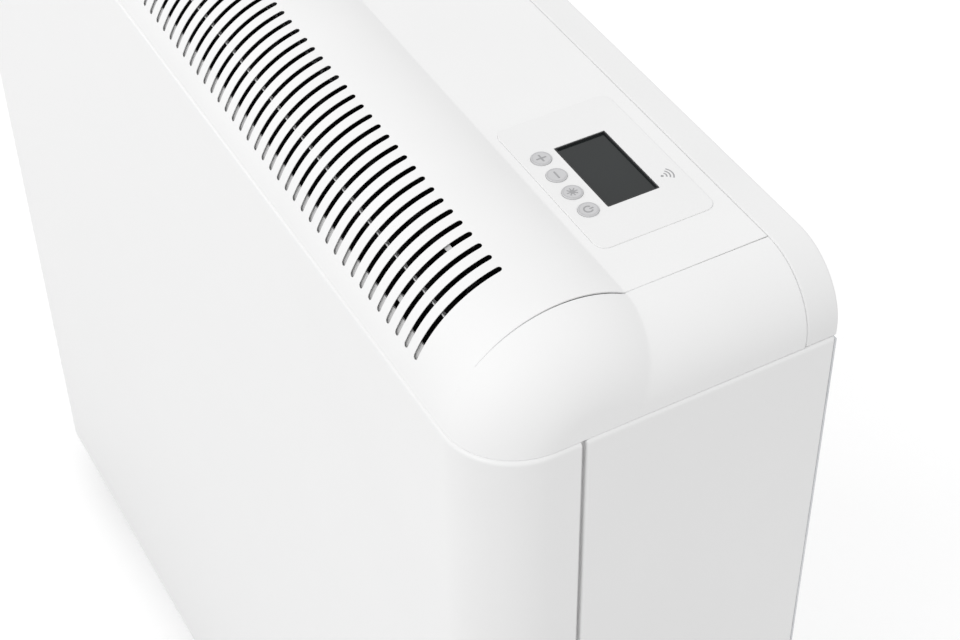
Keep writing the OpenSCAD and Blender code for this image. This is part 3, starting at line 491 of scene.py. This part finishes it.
def metal(name, dark, light, roughness, scale, stretch=(1, 1, 1), depth=0.01, glossier=0.08,
          duller=0.1):
    """Bare or plated metal with a cloudy or brushed finish."""
    material, tree, shader = new_material(name, light, roughness, metallic=1.0)
    cloud = object_noise(tree, scale, detail=4, stretch=stretch)
    colour_range(tree, cloud, shader, dark, light)
    roughness_range(tree, cloud, shader, roughness - glossier, roughness + duller)
    bumps(tree, cloud, shader, depth)
    return material


def mineral(name, dark, light, roughness, scale, depth):
    """Brick, ceramic or insulation: a speckled, dull body."""
    material, tree, shader = new_material(name, light, roughness)
    speckle = object_noise(tree, scale, detail=6)
    colour_range(tree, speckle, shader, dark, light)
    bumps(tree, speckle, shader, depth)
    return material


# ---------- materials ----------

WHITE_PAINT = painted("casing_paint", (0.86, 0.86, 0.86), 0.32)
WHITE_PLASTIC = moulded("white_moulding", (0.885, 0.885, 0.885), 0.55, specular=0.35)
FASCIA_PLASTIC = moulded("fascia_moulding", (0.865, 0.865, 0.865), 0.5, specular=0.35)
STRIP_PLASTIC = moulded("strip_moulding", (0.855, 0.855, 0.855), 0.5, specular=0.35)
GREY_PAINT = painted("grey_paint", (0.33, 0.34, 0.35), 0.5)
FOOT_PAINT = painted("foot_paint", (0.06, 0.06, 0.065), 0.5)
# Painted shade: near black, so that the outlet duct and boost element behind the slits look as
# dark as the shade there; the fan rotor shares it.
PAINTED_SHADE_BLACK = painted("dark_enamel", (0.012, 0.012, 0.012), 0.7)
# Painted shade: a grey copy of the white for the front rail, grille stay and grille bracket, which
# are white but lie in shadow below the slits.
PAINTED_SHADE_GREY = moulded("painted_shade_grey", (0.62, 0.62, 0.62), 0.45)
ZINC = metal("zinc_steel", (0.5, 0.51, 0.53), (0.66, 0.67, 0.68), 0.38, 35)
BRIGHT_STEEL = metal("bright_steel", (0.55, 0.55, 0.56), (0.72, 0.72, 0.73), 0.28, 90, (1, 8, 8))
SHEATH = metal("element_sheath", (0.2, 0.18, 0.17), (0.36, 0.34, 0.33), 0.45, 70)
BRONZE = metal("bearing_bronze", (0.45, 0.3, 0.13), (0.6, 0.42, 0.2), 0.4, 300)
BLACK_PLASTIC = moulded("black_plastic", (0.02, 0.02, 0.021), 0.45)
IVORY = moulded("ivory_plastic", (0.62, 0.58, 0.48), 0.45)
RED_PLASTIC = moulded("red_plastic", (0.5, 0.03, 0.025), 0.35)
CERAMIC = mineral("ceramic", (0.66, 0.62, 0.54), (0.76, 0.73, 0.66), 0.55, 500, 0.02)
BRICK = mineral("brick", (0.1, 0.055, 0.04), (0.2, 0.12, 0.085), 0.95, 260, 0.5)
INSULATION = mineral("insulation", (0.42, 0.37, 0.28), (0.62, 0.57, 0.46), 0.95, 400, 0.8)
BOARD = moulded("circuit_board", (0.015, 0.11, 0.05), 0.35)
KEY_SILVER = moulded("key_silver", (0.6, 0.6, 0.61), 0.38)
KEY_EDGE = moulded("key_edge", (0.53, 0.53, 0.54), 0.42)
PRINT_GREY = moulded("print_grey", (0.36, 0.36, 0.37), 0.5)
SCREEN_BLACK = moulded("screen_frame", (0.018, 0.019, 0.02), 0.5)
SCREEN_GLASS = moulded("screen_glass", (0.015, 0.018, 0.0185), 0.12, grain=300, depth=0.001,
                       spread=0.15, specular=0.35)


def dress_nodes(material, *names):
    """Gives CAD nodes a procedural material."""
    for name in names:
        NODES[name].data.materials.clear()
        NODES[name].data.materials.append(material)


dress_nodes(ZINC, "back_panel", "base_tray", "foot_bolts", "inner_shell", "inner_front",
            "heat_shield", "fan_housing", "damper_frame")
dress_nodes(GREY_PAINT, "core_frame")
dress_nodes(FOOT_PAINT, "foot_left", "foot_right")
dress_nodes(BRIGHT_STEEL, "casing_screws", "board_screws", "fan_shaft", "damper_shaft",
            "damper_flap", "fan_motor", "damper_motor")
# Painted shade: the parts inside, seen through the slits, are made near black for the shade there.
dress_nodes(PAINTED_SHADE_BLACK, "outlet_duct", "boost_element", "fan_rotor")
dress_nodes(SHEATH, "heating_elements", "core_sensor")
dress_nodes(BRONZE, "fan_bearings")
dress_nodes(CERAMIC, "element_bushes")
dress_nodes(IVORY, "terminal_block", "board_carrier", "thermal_cutout")
dress_nodes(BLACK_PLASTIC, "cable_gland", "tact_switches", "lcd_module", "board_parts")
dress_nodes(RED_PLASTIC, "reset_button")
dress_nodes(BOARD, "control_board", "display_board")
dress_nodes(BRICK, "bricks_front", "bricks_back")
dress_nodes(INSULATION, "insulation_front", "insulation_back", "insulation_left",
            "insulation_right", "insulation_bottom", "insulation_top")
# Painted shade: these white parts are made grey for the shadow they lie in below the slits.
dress_nodes(PAINTED_SHADE_GREY, "front_rail", "grille_stay", "grille_bracket")
dress_nodes(WHITE_PLASTIC, "room_sensor")


# ---------- the section of the rounded top ----------

def roll_start(inset):
    """Angle at which the roll leaves the casing's edge, for a roll drawn in by inset."""
    return math.asin((LOW_Z - ROLL_Z) / (ROLL_R - inset))


def crease(inset):
    """Centre, radius and roll-side angle of the hollow between roll and deck."""
    r = CREASE_R + CREASE_GROWTH * inset
    reach = ROLL_R - inset + r
    z = DECK_Z - inset + r
    y = ROLL_Y + math.sqrt(reach ** 2 - (z - ROLL_Z) ** 2)
    return y, z, r, math.atan2(z - ROLL_Z, ROLL_Y - y)


def roll_point(angle, inset=0.0):
    """(y, z) of a point on the roll, angle above the front horizontal."""
    r = ROLL_R - inset
    return ROLL_Y - r * math.cos(angle), ROLL_Z + r * math.sin(angle)


def hollow(inset, count=8):
    """(y, z) points of the hollow, from the roll down to the deck."""
    y, z, r, angle = crease(inset)
    return arc(y, z, r, -angle, -math.pi / 2, count)


# ---------- top cover ----------

# steps along a slit and round each of its ends, the share of the sheet's thickness at its rim,
# and how near a corner counts as on the rim
SLIT_STEPS = 26
SLIT_TIP = 8
SLIT_EDGE = 0.25
SLIT_NEAR = 0.01
SLIT_BEND = SLIT_W / 2 / ROLL_R
SLIT_STRAIGHT = steps(SLIT_LOW + SLIT_BEND, SLIT_HIGH - SLIT_BEND, SLIT_STEPS)


def slit_cell(x):
    """Quads round one slit: spokes from its contour to the edge of its cell."""
    half = SLIT_W / 2
    inner, outer = [], []
    for side in (1, -1):
        straight = SLIT_STRAIGHT if side == 1 else SLIT_STRAIGHT[::-1]
        inner += [(x + side * half, a) for a in straight]
        outer += [(x + side * SLIT_PITCH / 2, a) for a in straight]
        end = straight[-1]
        edge = SLIT_HIGH + SLIT_MARGIN if side == 1 else SLIT_LOW - SLIT_MARGIN
        for k in range(1, SLIT_TIP):
            turn = math.pi * k / SLIT_TIP
            across, along = side * math.cos(turn), side * math.sin(turn)
            inner.append((x + half * across, end + SLIT_BEND * along))
            share = 1 - 2 * (k - 1) / (SLIT_TIP - 2)
            outer.append((x + side * SLIT_PITCH / 2 * share, edge))
    rings = []
    for t in steps(0, 1, 3):
        ring_points = []
        for (xi, ai), (xo, ao) in zip(inner, outer):
            y, z = roll_point(ai + (ao - ai) * t)
            ring_points.append((xi + (xo - xi) * t, y, z))
        rings.append(ring_points + ring_points[:1])
    return grid(rings)


def sink_slits(piece, cells):
    """Vertex group that thins the sheet from behind, round every slit."""
    group = piece.vertex_groups.new(name="full_thickness")
    half = SLIT_W / 2 + SLIT_NEAR
    for vert in piece.data.vertices:
        x, y, z = vert.co / MM
        near = min(abs(x - cell) for cell in cells)
        angle = math.atan2(z - ROLL_Z, ROLL_Y - y)
        beyond = max(SLIT_STRAIGHT[0] - angle, angle - SLIT_STRAIGHT[-1], 0) * ROLL_R
        thin = math.hypot(near, beyond) < half
        group.add([vert.index], SLIT_EDGE if thin else 1.0, "REPLACE")
    return group.name


def top_cover():
    """Slotted roll, hollow and flat deck in one thin moulding."""
    verts, faces = [], []

    def take(part):
        """Adds a part's corners and faces to the skin."""
        base = len(verts)
        verts.extend(part[0])
        faces.extend(tuple(base + i for i in face) for face in part[1])

    first = -(SLIT_COUNT - 1) * SLIT_PITCH / 2
    cells = [first + i * SLIT_PITCH for i in range(SLIT_COUNT)]
    for x in cells:
        take(slit_cell(x))
    grille_x = cells[-1] + SLIT_PITCH / 2
    lower = steps(roll_start(0), SLIT_LOW - SLIT_MARGIN, LOWER_STEPS)
    upper = steps(SLIT_HIGH + SLIT_MARGIN, crease(0)[3], UPPER_STEPS)
    middle = [lower[-1]] + SLIT_STRAIGHT + [upper[0]]
    back = [roll_point(a) for a in upper] + hollow(0)[1:]
    marks = [-COVER_END] + steps(-grille_x, grille_x, SLIT_COUNT * (SLIT_TIP - 2)) + [COVER_END]
    take(grid([[(x, *roll_point(a)) for a in lower] for x in marks]))
    take(grid([[(x, y, z) for y, z in back] for x in marks]))
    for s in (-1, 1):
        take(grid([[(s * x, *roll_point(a)) for a in middle] for x in (grille_x, COVER_END)]))
    # the flat deck: a strip that ends the roll's columns, then a sheet with the fascia's opening
    deck_y0 = hollow(0)[-1][0]
    deck_y1 = deck_y0 + DECK_STRIP
    strip = [(x, deck_y0, DECK_Z) for x in marks]
    strip += [(COVER_END, deck_y1, DECK_Z), (-COVER_END, deck_y1, DECK_Z)]
    take((strip, [tuple(range(len(strip)))]))
    edge = [(-COVER_END, deck_y1), (COVER_END, deck_y1)]
    edge += [(COVER_END, DECK_BACK), (-COVER_END, DECK_BACK)]
    hole = rect_edge(FASCIA_X, FASCIA_Y, FASCIA_W, FASCIA_L, FASCIA_R)(FASCIA_GAP)
    flat = [[Vector((x, y, 0)) for x, y in outline] for outline in (edge, hole)]
    points = [(p.x, p.y, DECK_Z) for outline in flat for p in outline]
    take((points, [tuple(t) for t in tessellate_polygon(flat)]))
    piece = add_piece("top_cover_skin", verts, faces)
    solid = thicken(piece, SHEET)
    solid.vertex_group = sink_slits(piece, cells)
    solid.thickness_vertex_group = 0
    soften_rims(piece, TOP_ROUND, cover_rounding)
    dress(piece, "heater", "white_moulding", WHITE_PLASTIC, "top_cover")


# ---------- end caps ----------

def cap_gap(y):
    """Width of the seam between the top cover and an end cap; it closes down the dome."""
    if y >= EVEN_Y:
        return SEAM_GAP
    if y >= WIDEST_Y:
        return SEAM_GAP + (DOME_GAP - SEAM_GAP) * (EVEN_Y - y) / (EVEN_Y - WIDEST_Y)
    share = max(0.0, (y - CLOSED_Y) / (WIDEST_Y - CLOSED_Y))
    return CLOSED_GAP + (DOME_GAP - CLOSED_GAP) * share


def cap_section(inset):
    """(y, z) points of an end cap's outside, from the casing's front edge back to the rail."""
    y_end = RAIL_Y0 - SEAM_GAP
    turns = steps(roll_start(inset), crease(inset)[3], ROLL_STEPS)
    points = [roll_point(a, inset) for a in turns] + hollow(inset)[1:]
    deck_y, deck_z = points[-1]
    points += [(y, deck_z) for y in steps(deck_y, y_end, DECK_STEPS)[1:]]
    return points


def end_cap(name, side):
    """Domed end of the roll with the rounded end of the deck; side is 1 for right, -1 for left."""
    rows = []
    for turn in steps(0, math.pi / 2, CAP_STEPS):
        inset = CORNER_R * (1 - math.cos(turn))
        row = []
        for y, z in cap_section(inset):
            x = SEAM_X + CORNER_R * math.sin(turn)
            if turn == 0:  # the first row is the seam's edge
                x = COVER_END + cap_gap(y)
            row.append((side * x, y, z))
        rows.append(row)
    verts, faces = grid(rows)
    # the flat side, down to the casing's upper edge
    rim = len(verts) - len(rows[-1])
    verts.append((side * CAP_HALF, rows[-1][-1][1], LOW_Z))
    faces.append(tuple(range(rim, len(verts))))
    piece = add_piece(f"end_cap_{name}_skin", verts, faces)
    thicken(piece, CAP_WALL)
    soften_rims(piece, TOP_ROUND, cap_rounding)
    dress(piece, "heater", "white_moulding", WHITE_PLASTIC, f"end_cap_{name}")


# ---------- rear rail ----------

def rear_rail():
    """Strip behind the deck, with the same rounded ends as the caps."""
    quarter = math.pi / 2
    outline = [(CAP_HALF, LOW_Z)]
    outline += arc(SEAM_X, DECK_Z - CORNER_R, CORNER_R, 0, quarter, CAP_STEPS)
    outline += arc(-SEAM_X, DECK_Z - CORNER_R, CORNER_R, quarter, 2 * quarter, CAP_STEPS)
    outline += [(-CAP_HALF, LOW_Z)]
    rows = [[(x, y, z) for x, z in outline] for y in (RAIL_Y0, Y_BACK)]
    verts, faces = grid(rows)
    n = len(outline)
    faces += [tuple(range(n)), tuple(range(n, 2 * n))]
    piece = add_piece("rear_rail_skin", verts, faces)
    thicken(piece, CAP_WALL)
    soften(piece, RAIL_ROUND, 4)
    dress(piece, "heater", "white_moulding", STRIP_PLASTIC, "rear_rail")


# ---------- steel casing ----------

def folded_edge():
    """(depth, height) points of a panel whose upper and lower edges are folded in."""
    quarter = math.pi / 2
    points = [(FLANGE, FLOOR_Z)]
    points += arc(FOLD_R, FLOOR_Z + FOLD_R, FOLD_R, -quarter, -2 * quarter, FOLD_STEPS)
    points += arc(FOLD_R, LOW_Z - FOLD_R, FOLD_R, 2 * quarter, quarter, FOLD_STEPS)
    points += [(FLANGE, LOW_Z)]
    return points


def front_panel():
    """The front sheet wraps round both corners; each station is a place and its inward normal."""
    cx, cy = HALF_W - CORNER_R, Y_FRONT + CORNER_R
    right = [(HALF_W, Y_GAP, 0.0)]
    right += [(cx + CORNER_R * math.cos(a), cy - CORNER_R * math.sin(a), a)
              for a in steps(0, math.pi / 2, FRONT_STEPS)]
    stations = [(x, y, -math.cos(a), math.sin(a)) for x, y, a in right]
    stations += [(-x, y, -nx, ny) for x, y, nx, ny in reversed(stations)]
    rows = [[(x + nx * d, y + ny * d, z) for d, z in folded_edge()] for x, y, nx, ny in stations]
    verts, faces = grid(rows)
    piece = add_piece("front_sheet", verts, faces, smooth=50)
    thicken(piece, SHEET)
    soften(piece, SHEET_ROUND, angle=SHEET_ANGLE)
    dress(piece, "heater", "casing_paint", WHITE_PAINT, "front_panel")


def side_panel(name, side):
    """Side sheet with folded edges, and its lip; side is 1 for right, -1 for left."""
    cy, cz = (SIDE_Y0 + SIDE_Y1) / 2, (FLOOR_Z + LOW_Z) / 2
    w, h = SIDE_Y1 - SIDE_Y0, LOW_Z - FLOOR_Z
    edge = [(0.0, FLANGE)]
    edge += [(FOLD_R * (1 - math.cos(a)), FOLD_R * (1 - math.sin(a)))
             for a in steps(0, math.pi / 2, FOLD_STEPS)]
    rows = []
    for inset, depth in edge:
        r = max(FOLD_R - inset, FOLD_LEAST_R)
        loop = round_rect(cy, cz, w - 2 * inset, h - 2 * inset, r, 6)
        row = [(side * (HALF_W - depth), y, z) for y, z in loop]
        rows.append(row + row[:1])
    verts, faces = grid(rows)
    rim = len(verts) - len(rows[-1])
    faces.append(tuple(range(rim, len(verts) - 1)))
    piece = add_piece(f"side_sheet_{name}", verts, faces, smooth=50)
    thicken(piece, SHEET)
    soften(piece, SHEET_ROUND, angle=SHEET_ANGLE)
    # the lip behind the edge of the front sheet
    y0, y1 = low(f"side_panel_{name}").y, SIDE_Y0 + SHEET / 2
    x = side * (HALF_W - LIP_DEPTH - SHEET / 2)
    edge = fixed_edge(bar(x, (y0 + y1) / 2, SHEET, y1 - y0))
    lip = plate(f"side_lip_{name}", [edge], FLOOR_Z + FOLD_R, LOW_Z - FOLD_R)
    for part in (piece, lip):
        dress(part, "heater", "casing_paint", WHITE_PAINT, f"side_panel_{name}")


# ---------- controls ----------

def control_fascia():
    """White plate that carries screen and keys, with its flange and posts under the deck."""
    holes = [ring_edge(*centre(node), KEY_R + KEY_GAP) for node in KEYS]
    opening = rect_edge(*centre("lcd_lens"), SCREEN_W, SCREEN_L, SCREEN_R, 3)
    outer = rect_edge(FASCIA_X, FASCIA_Y, FASCIA_W, FASCIA_L, FASCIA_R, 12)
    pieces = [plate("fascia_plate", [outer, opening] + holes, FASCIA_STEP, FASCIA_TOP,
                    FASCIA_ROUND)]
    wide = fixed_edge(outer(FASCIA_EDGE))
    pieces.append(plate("fascia_flange", [wide, opening] + holes, FASCIA_LOW, FASCIA_STEP))
    board, top = high("display_board").z, FASCIA_LOW + POST_SINK
    profile = [(POST_BORE, board), (POST_R, board), (POST_R, top), (POST_BORE, top),
               (POST_BORE, board)]
    for i, (sx, sy) in enumerate(CORNERS):
        x = FASCIA_X + sx * (FASCIA_W / 2 - POST_INSET[0])
        y = FASCIA_Y + sy * (FASCIA_L / 2 - POST_INSET[1])
        pieces.append(lathe(f"fascia_post_{i + 1}", x, y, profile, 24))
    for piece in pieces:
        dress(piece, "heater", "white_moulding", FASCIA_PLASTIC, "control_fascia")


def screen():
    """A black liner round a display that lies a little below the fascia."""
    place = centre("lcd_lens")
    z0, z1 = low("lcd_lens").z, high("lcd_lens").z
    outer = rect_edge(*place, SCREEN_W - SCREEN_PLAY, SCREEN_L - SCREEN_PLAY, LINER_R, 3)
    inner = rect_edge(*place, SCREEN_W - 2 * SCREEN_BORDER, SCREEN_L - 2 * SCREEN_BORDER,
                      DISPLAY_R, 3)
    liner = plate("screen_liner", [outer, inner], z0, z1, LINER_ROUND)
    dress(liner, "heater", "screen_frame", SCREEN_BLACK, "lcd_lens")
    display = plate("screen_display", [inner], z0, z1 - SCREEN_DEPTH)
    dress(display, "heater", "screen", SCREEN_GLASS, "lcd_lens")


def cross(x, y, reach, half, arms, hub=0.0):
    """Outline of equal arms round a point; the hub is the radius where they meet."""
    hub = max(hub, half / math.sin(math.pi / arms))
    outline = []
    for k in range(arms):
        a = 2 * math.pi * k / arms
        ux, uy = math.cos(a), math.sin(a)
        inner = math.sqrt(hub ** 2 - half ** 2)
        for r, side in ((inner, -half), (reach, -half), (reach, half), (inner, half)):
            outline.append((x + r * ux - side * uy, y + r * uy + side * ux))
    return outline


def bar(x, y, w, l):
    """Outline of a straight stroke, centred on a point."""
    return [(x + sx * w / 2, y + sy * l / 2) for sx, sy in CORNERS]


def band(x, y, r, half, a0, a1, count=24):
    """Outline of a curved stroke along an arc."""
    return arc(x, y, r + half, a0, a1, count) + arc(x, y, r - half, a1, a0, count)


def key_signs(kind, x, y):
    """Outlines of the sign on a key."""
    quarter = math.pi / 2
    signs = {
        "plus": [cross(x, y, PLUS_REACH, PLUS_HALF, 4)],
        "minus": [bar(x, y, 2 * PLUS_REACH, 2 * PLUS_HALF)],
        "mode": [cross(x, y, MODE_REACH, MODE_HALF, MODE_ARMS, MODE_HUB)],
        "power": [band(x, y, POWER_R, CURVE_HALF, quarter + POWER_OPENING,
                       5 * quarter - POWER_OPENING),
                  bar(x, y + POWER_BAR_Y, 2 * CURVE_HALF, POWER_BAR_L)],
    }
    return signs[kind]


def control_key(node, body, kind):
    """A round key with its flange and stem, a darker rim and a printed sign."""
    x, y = centre(node)
    z0, z1 = low(node).z, high(node).z
    rim = KEY_R - KEY_RING
    face = [(rim * math.cos(a), z1 - KEY_DISH * math.sin(a)) for a in steps(0, math.pi / 2, 8)]
    step_z = FASCIA_LOW - KEY_FLANGE_T
    profile = [(0, z0), (KEY_STEM_R, z0), (KEY_STEM_R, step_z), (KEY_FLANGE_R, step_z),
               (KEY_FLANGE_R, FASCIA_LOW), (KEY_R, FASCIA_LOW)]
    profile += arc(KEY_R - KEY_ROUND, z1 - KEY_ROUND, KEY_ROUND, 0, math.pi / 2, 5) + face
    cap = lathe(f"{node}_cap", x, y, profile)
    dress(cap, body, "key_silver", KEY_SILVER, node)
    edges = [ring_edge(x, y, KEY_R - KEY_ROUND), ring_edge(x, y, rim)]
    edge = plate(f"{node}_rim", edges, z1 - KEY_DISH, z1 + PRINT_T)
    dress(edge, body, "key_silver", KEY_EDGE, node)
    for i, outline in enumerate(key_signs(kind, x, y)):
        sign = plate(f"{node}_sign_{i + 1}", [fixed_edge(outline)], z1 - KEY_SIGN_FOOT,
                     z1 - KEY_SIGN_FACE)
        dress(sign, body, "key_silver", PRINT_GREY, node)


def wireless_sign():
    """Generic wireless sign printed on the fascia: a dot and three arcs."""
    up = math.pi / 2
    outlines = [ring(SIGN_X, SIGN_Y, WAVE_DOT_R, 24)]
    outlines += [band(SIGN_X, SIGN_Y, r, CURVE_HALF, up - WAVE_SPREAD, up + WAVE_SPREAD)
                 for r in WAVE_RADII]
    for i, outline in enumerate(outlines):
        sign = plate(f"wireless_sign_{i + 1}", [fixed_edge(outline)], FASCIA_TOP - PRINT_SINK,
                     FASCIA_TOP + PRINT_T)
        dress(sign, "heater", "key_silver", PRINT_GREY)


# ---------- build ----------

top_cover()
rear_rail()
front_panel()
control_fascia()
screen()
wireless_sign()
for node, kind in KEYS.items():
    control_key(node, f"{node}_body", kind)
for name, side in (("right", 1), ("left", -1)):
    end_cap(name, side)
    side_panel(name, side)


# ---------- studio ----------

SKY = 0.86
FLOOR_HALF = 4000
FLOOR_TONE = (0.655, 0.655, 0.655)
FLOOR_ROUGHNESS = 0.9
FLOOR_GLOW = 0.45

# each softbox: its place, the point it looks at, its width and height, and its watts
SOFTBOXES = {
    "key_light": ((830, -2505, 3010), (200, 0, 600), (2400, 2400), 26),
    "edge_light": ((-2050, -1650, 1620), (200, -94, 690), (400, 2000), 6.3),
}

CAMERA_PLACE = Vector((914.1, -377.1, 1338.9))
CAMERA_AZIMUTH = math.radians(61.59)
CAMERA_ELEVATION = math.radians(43.26)
CAMERA_ROLL = math.radians(-0.874)
CAMERA_LENS = 77.21
CAMERA_SENSOR = 36.0


def background_light(tree, camera_strength):
    """Strength that camera, mirror and glass rays see, as one node output."""
    path = tree.nodes.new("ShaderNodeLightPath")
    total = path.outputs["Is Camera Ray"]
    for name in ("Is Glossy Ray", "Is Transmission Ray"):
        add = tree.nodes.new("ShaderNodeMath")
        add.operation = "MAXIMUM"
        tree.links.new(total, add.inputs[0])
        tree.links.new(path.outputs[name], add.inputs[1])
        total = add.outputs[0]
    scale = tree.nodes.new("ShaderNodeMath")
    scale.operation = "MULTIPLY"
    scale.inputs[1].default_value = camera_strength
    tree.links.new(total, scale.inputs[0])
    return scale.outputs[0]


def world():
    """Even pale surroundings, which camera, mirror and glass rays see as white."""
    scene_world = bpy.data.worlds.new("studio")
    bpy.context.scene.world = scene_world
    scene_world.use_nodes = True
    tree = scene_world.node_tree
    sky = tree.nodes["Background"]
    sky.inputs["Color"].default_value = (1, 1, 1, 1)
    seen = background_light(tree, 1 - SKY)
    add = tree.nodes.new("ShaderNodeMath")
    add.operation = "ADD"
    add.inputs[1].default_value = SKY
    tree.links.new(seen, add.inputs[0])
    tree.links.new(add.outputs[0], sky.inputs["Strength"])


def floor():
    """Wide pale paper, which glows a little for camera, mirror and glass rays only."""
    h = FLOOR_HALF
    piece = add_piece("floor", [(-h, -h, 0), (h, -h, 0), (h, h, 0), (-h, h, 0)], [(0, 1, 2, 3)])
    material, tree, shader = new_material("floor_paper", FLOOR_TONE, FLOOR_ROUGHNESS)
    shader.inputs["Emission Color"].default_value = (1, 1, 1, 1)
    tree.links.new(background_light(tree, FLOOR_GLOW), shader.inputs["Emission Strength"])
    piece.data.materials.append(material)


def softbox(name, place, target, size, watts):
    """A rectangular area lamp, size = (width, height), that looks at a point."""
    lamp = bpy.data.lights.new(name, "AREA")
    lamp.shape = "RECTANGLE"
    lamp.size, lamp.size_y = size[0] * MM, size[1] * MM
    lamp.energy = watts
    box = bpy.data.objects.new(name, lamp)
    box.location = Vector(place) * MM
    look = Vector(target) - Vector(place)
    box.rotation_euler = look.to_track_quat("-Z", "Y").to_euler()
    bpy.context.scene.collection.objects.link(box)


def camera():
    """The camera stands front right, above the heater's top right-hand corner."""
    data = bpy.data.cameras.new("camera")
    data.sensor_width = CAMERA_SENSOR
    data.lens = CAMERA_LENS
    eye = bpy.data.objects.new("camera", data)
    turn = Matrix.Rotation(CAMERA_AZIMUTH, 4, "Z")
    tilt = Matrix.Rotation(math.pi / 2 - CAMERA_ELEVATION, 4, "X")
    roll = Matrix.Rotation(CAMERA_ROLL, 4, "Z")
    eye.matrix_world = Matrix.Translation(CAMERA_PLACE * MM) @ turn @ tilt @ roll
    bpy.context.scene.collection.objects.link(eye)
    bpy.context.scene.camera = eye


world()
floor()
for name, settings in SOFTBOXES.items():
    softbox(name, *settings)
camera()
bpy.context.scene.view_settings.view_transform = "Standard"
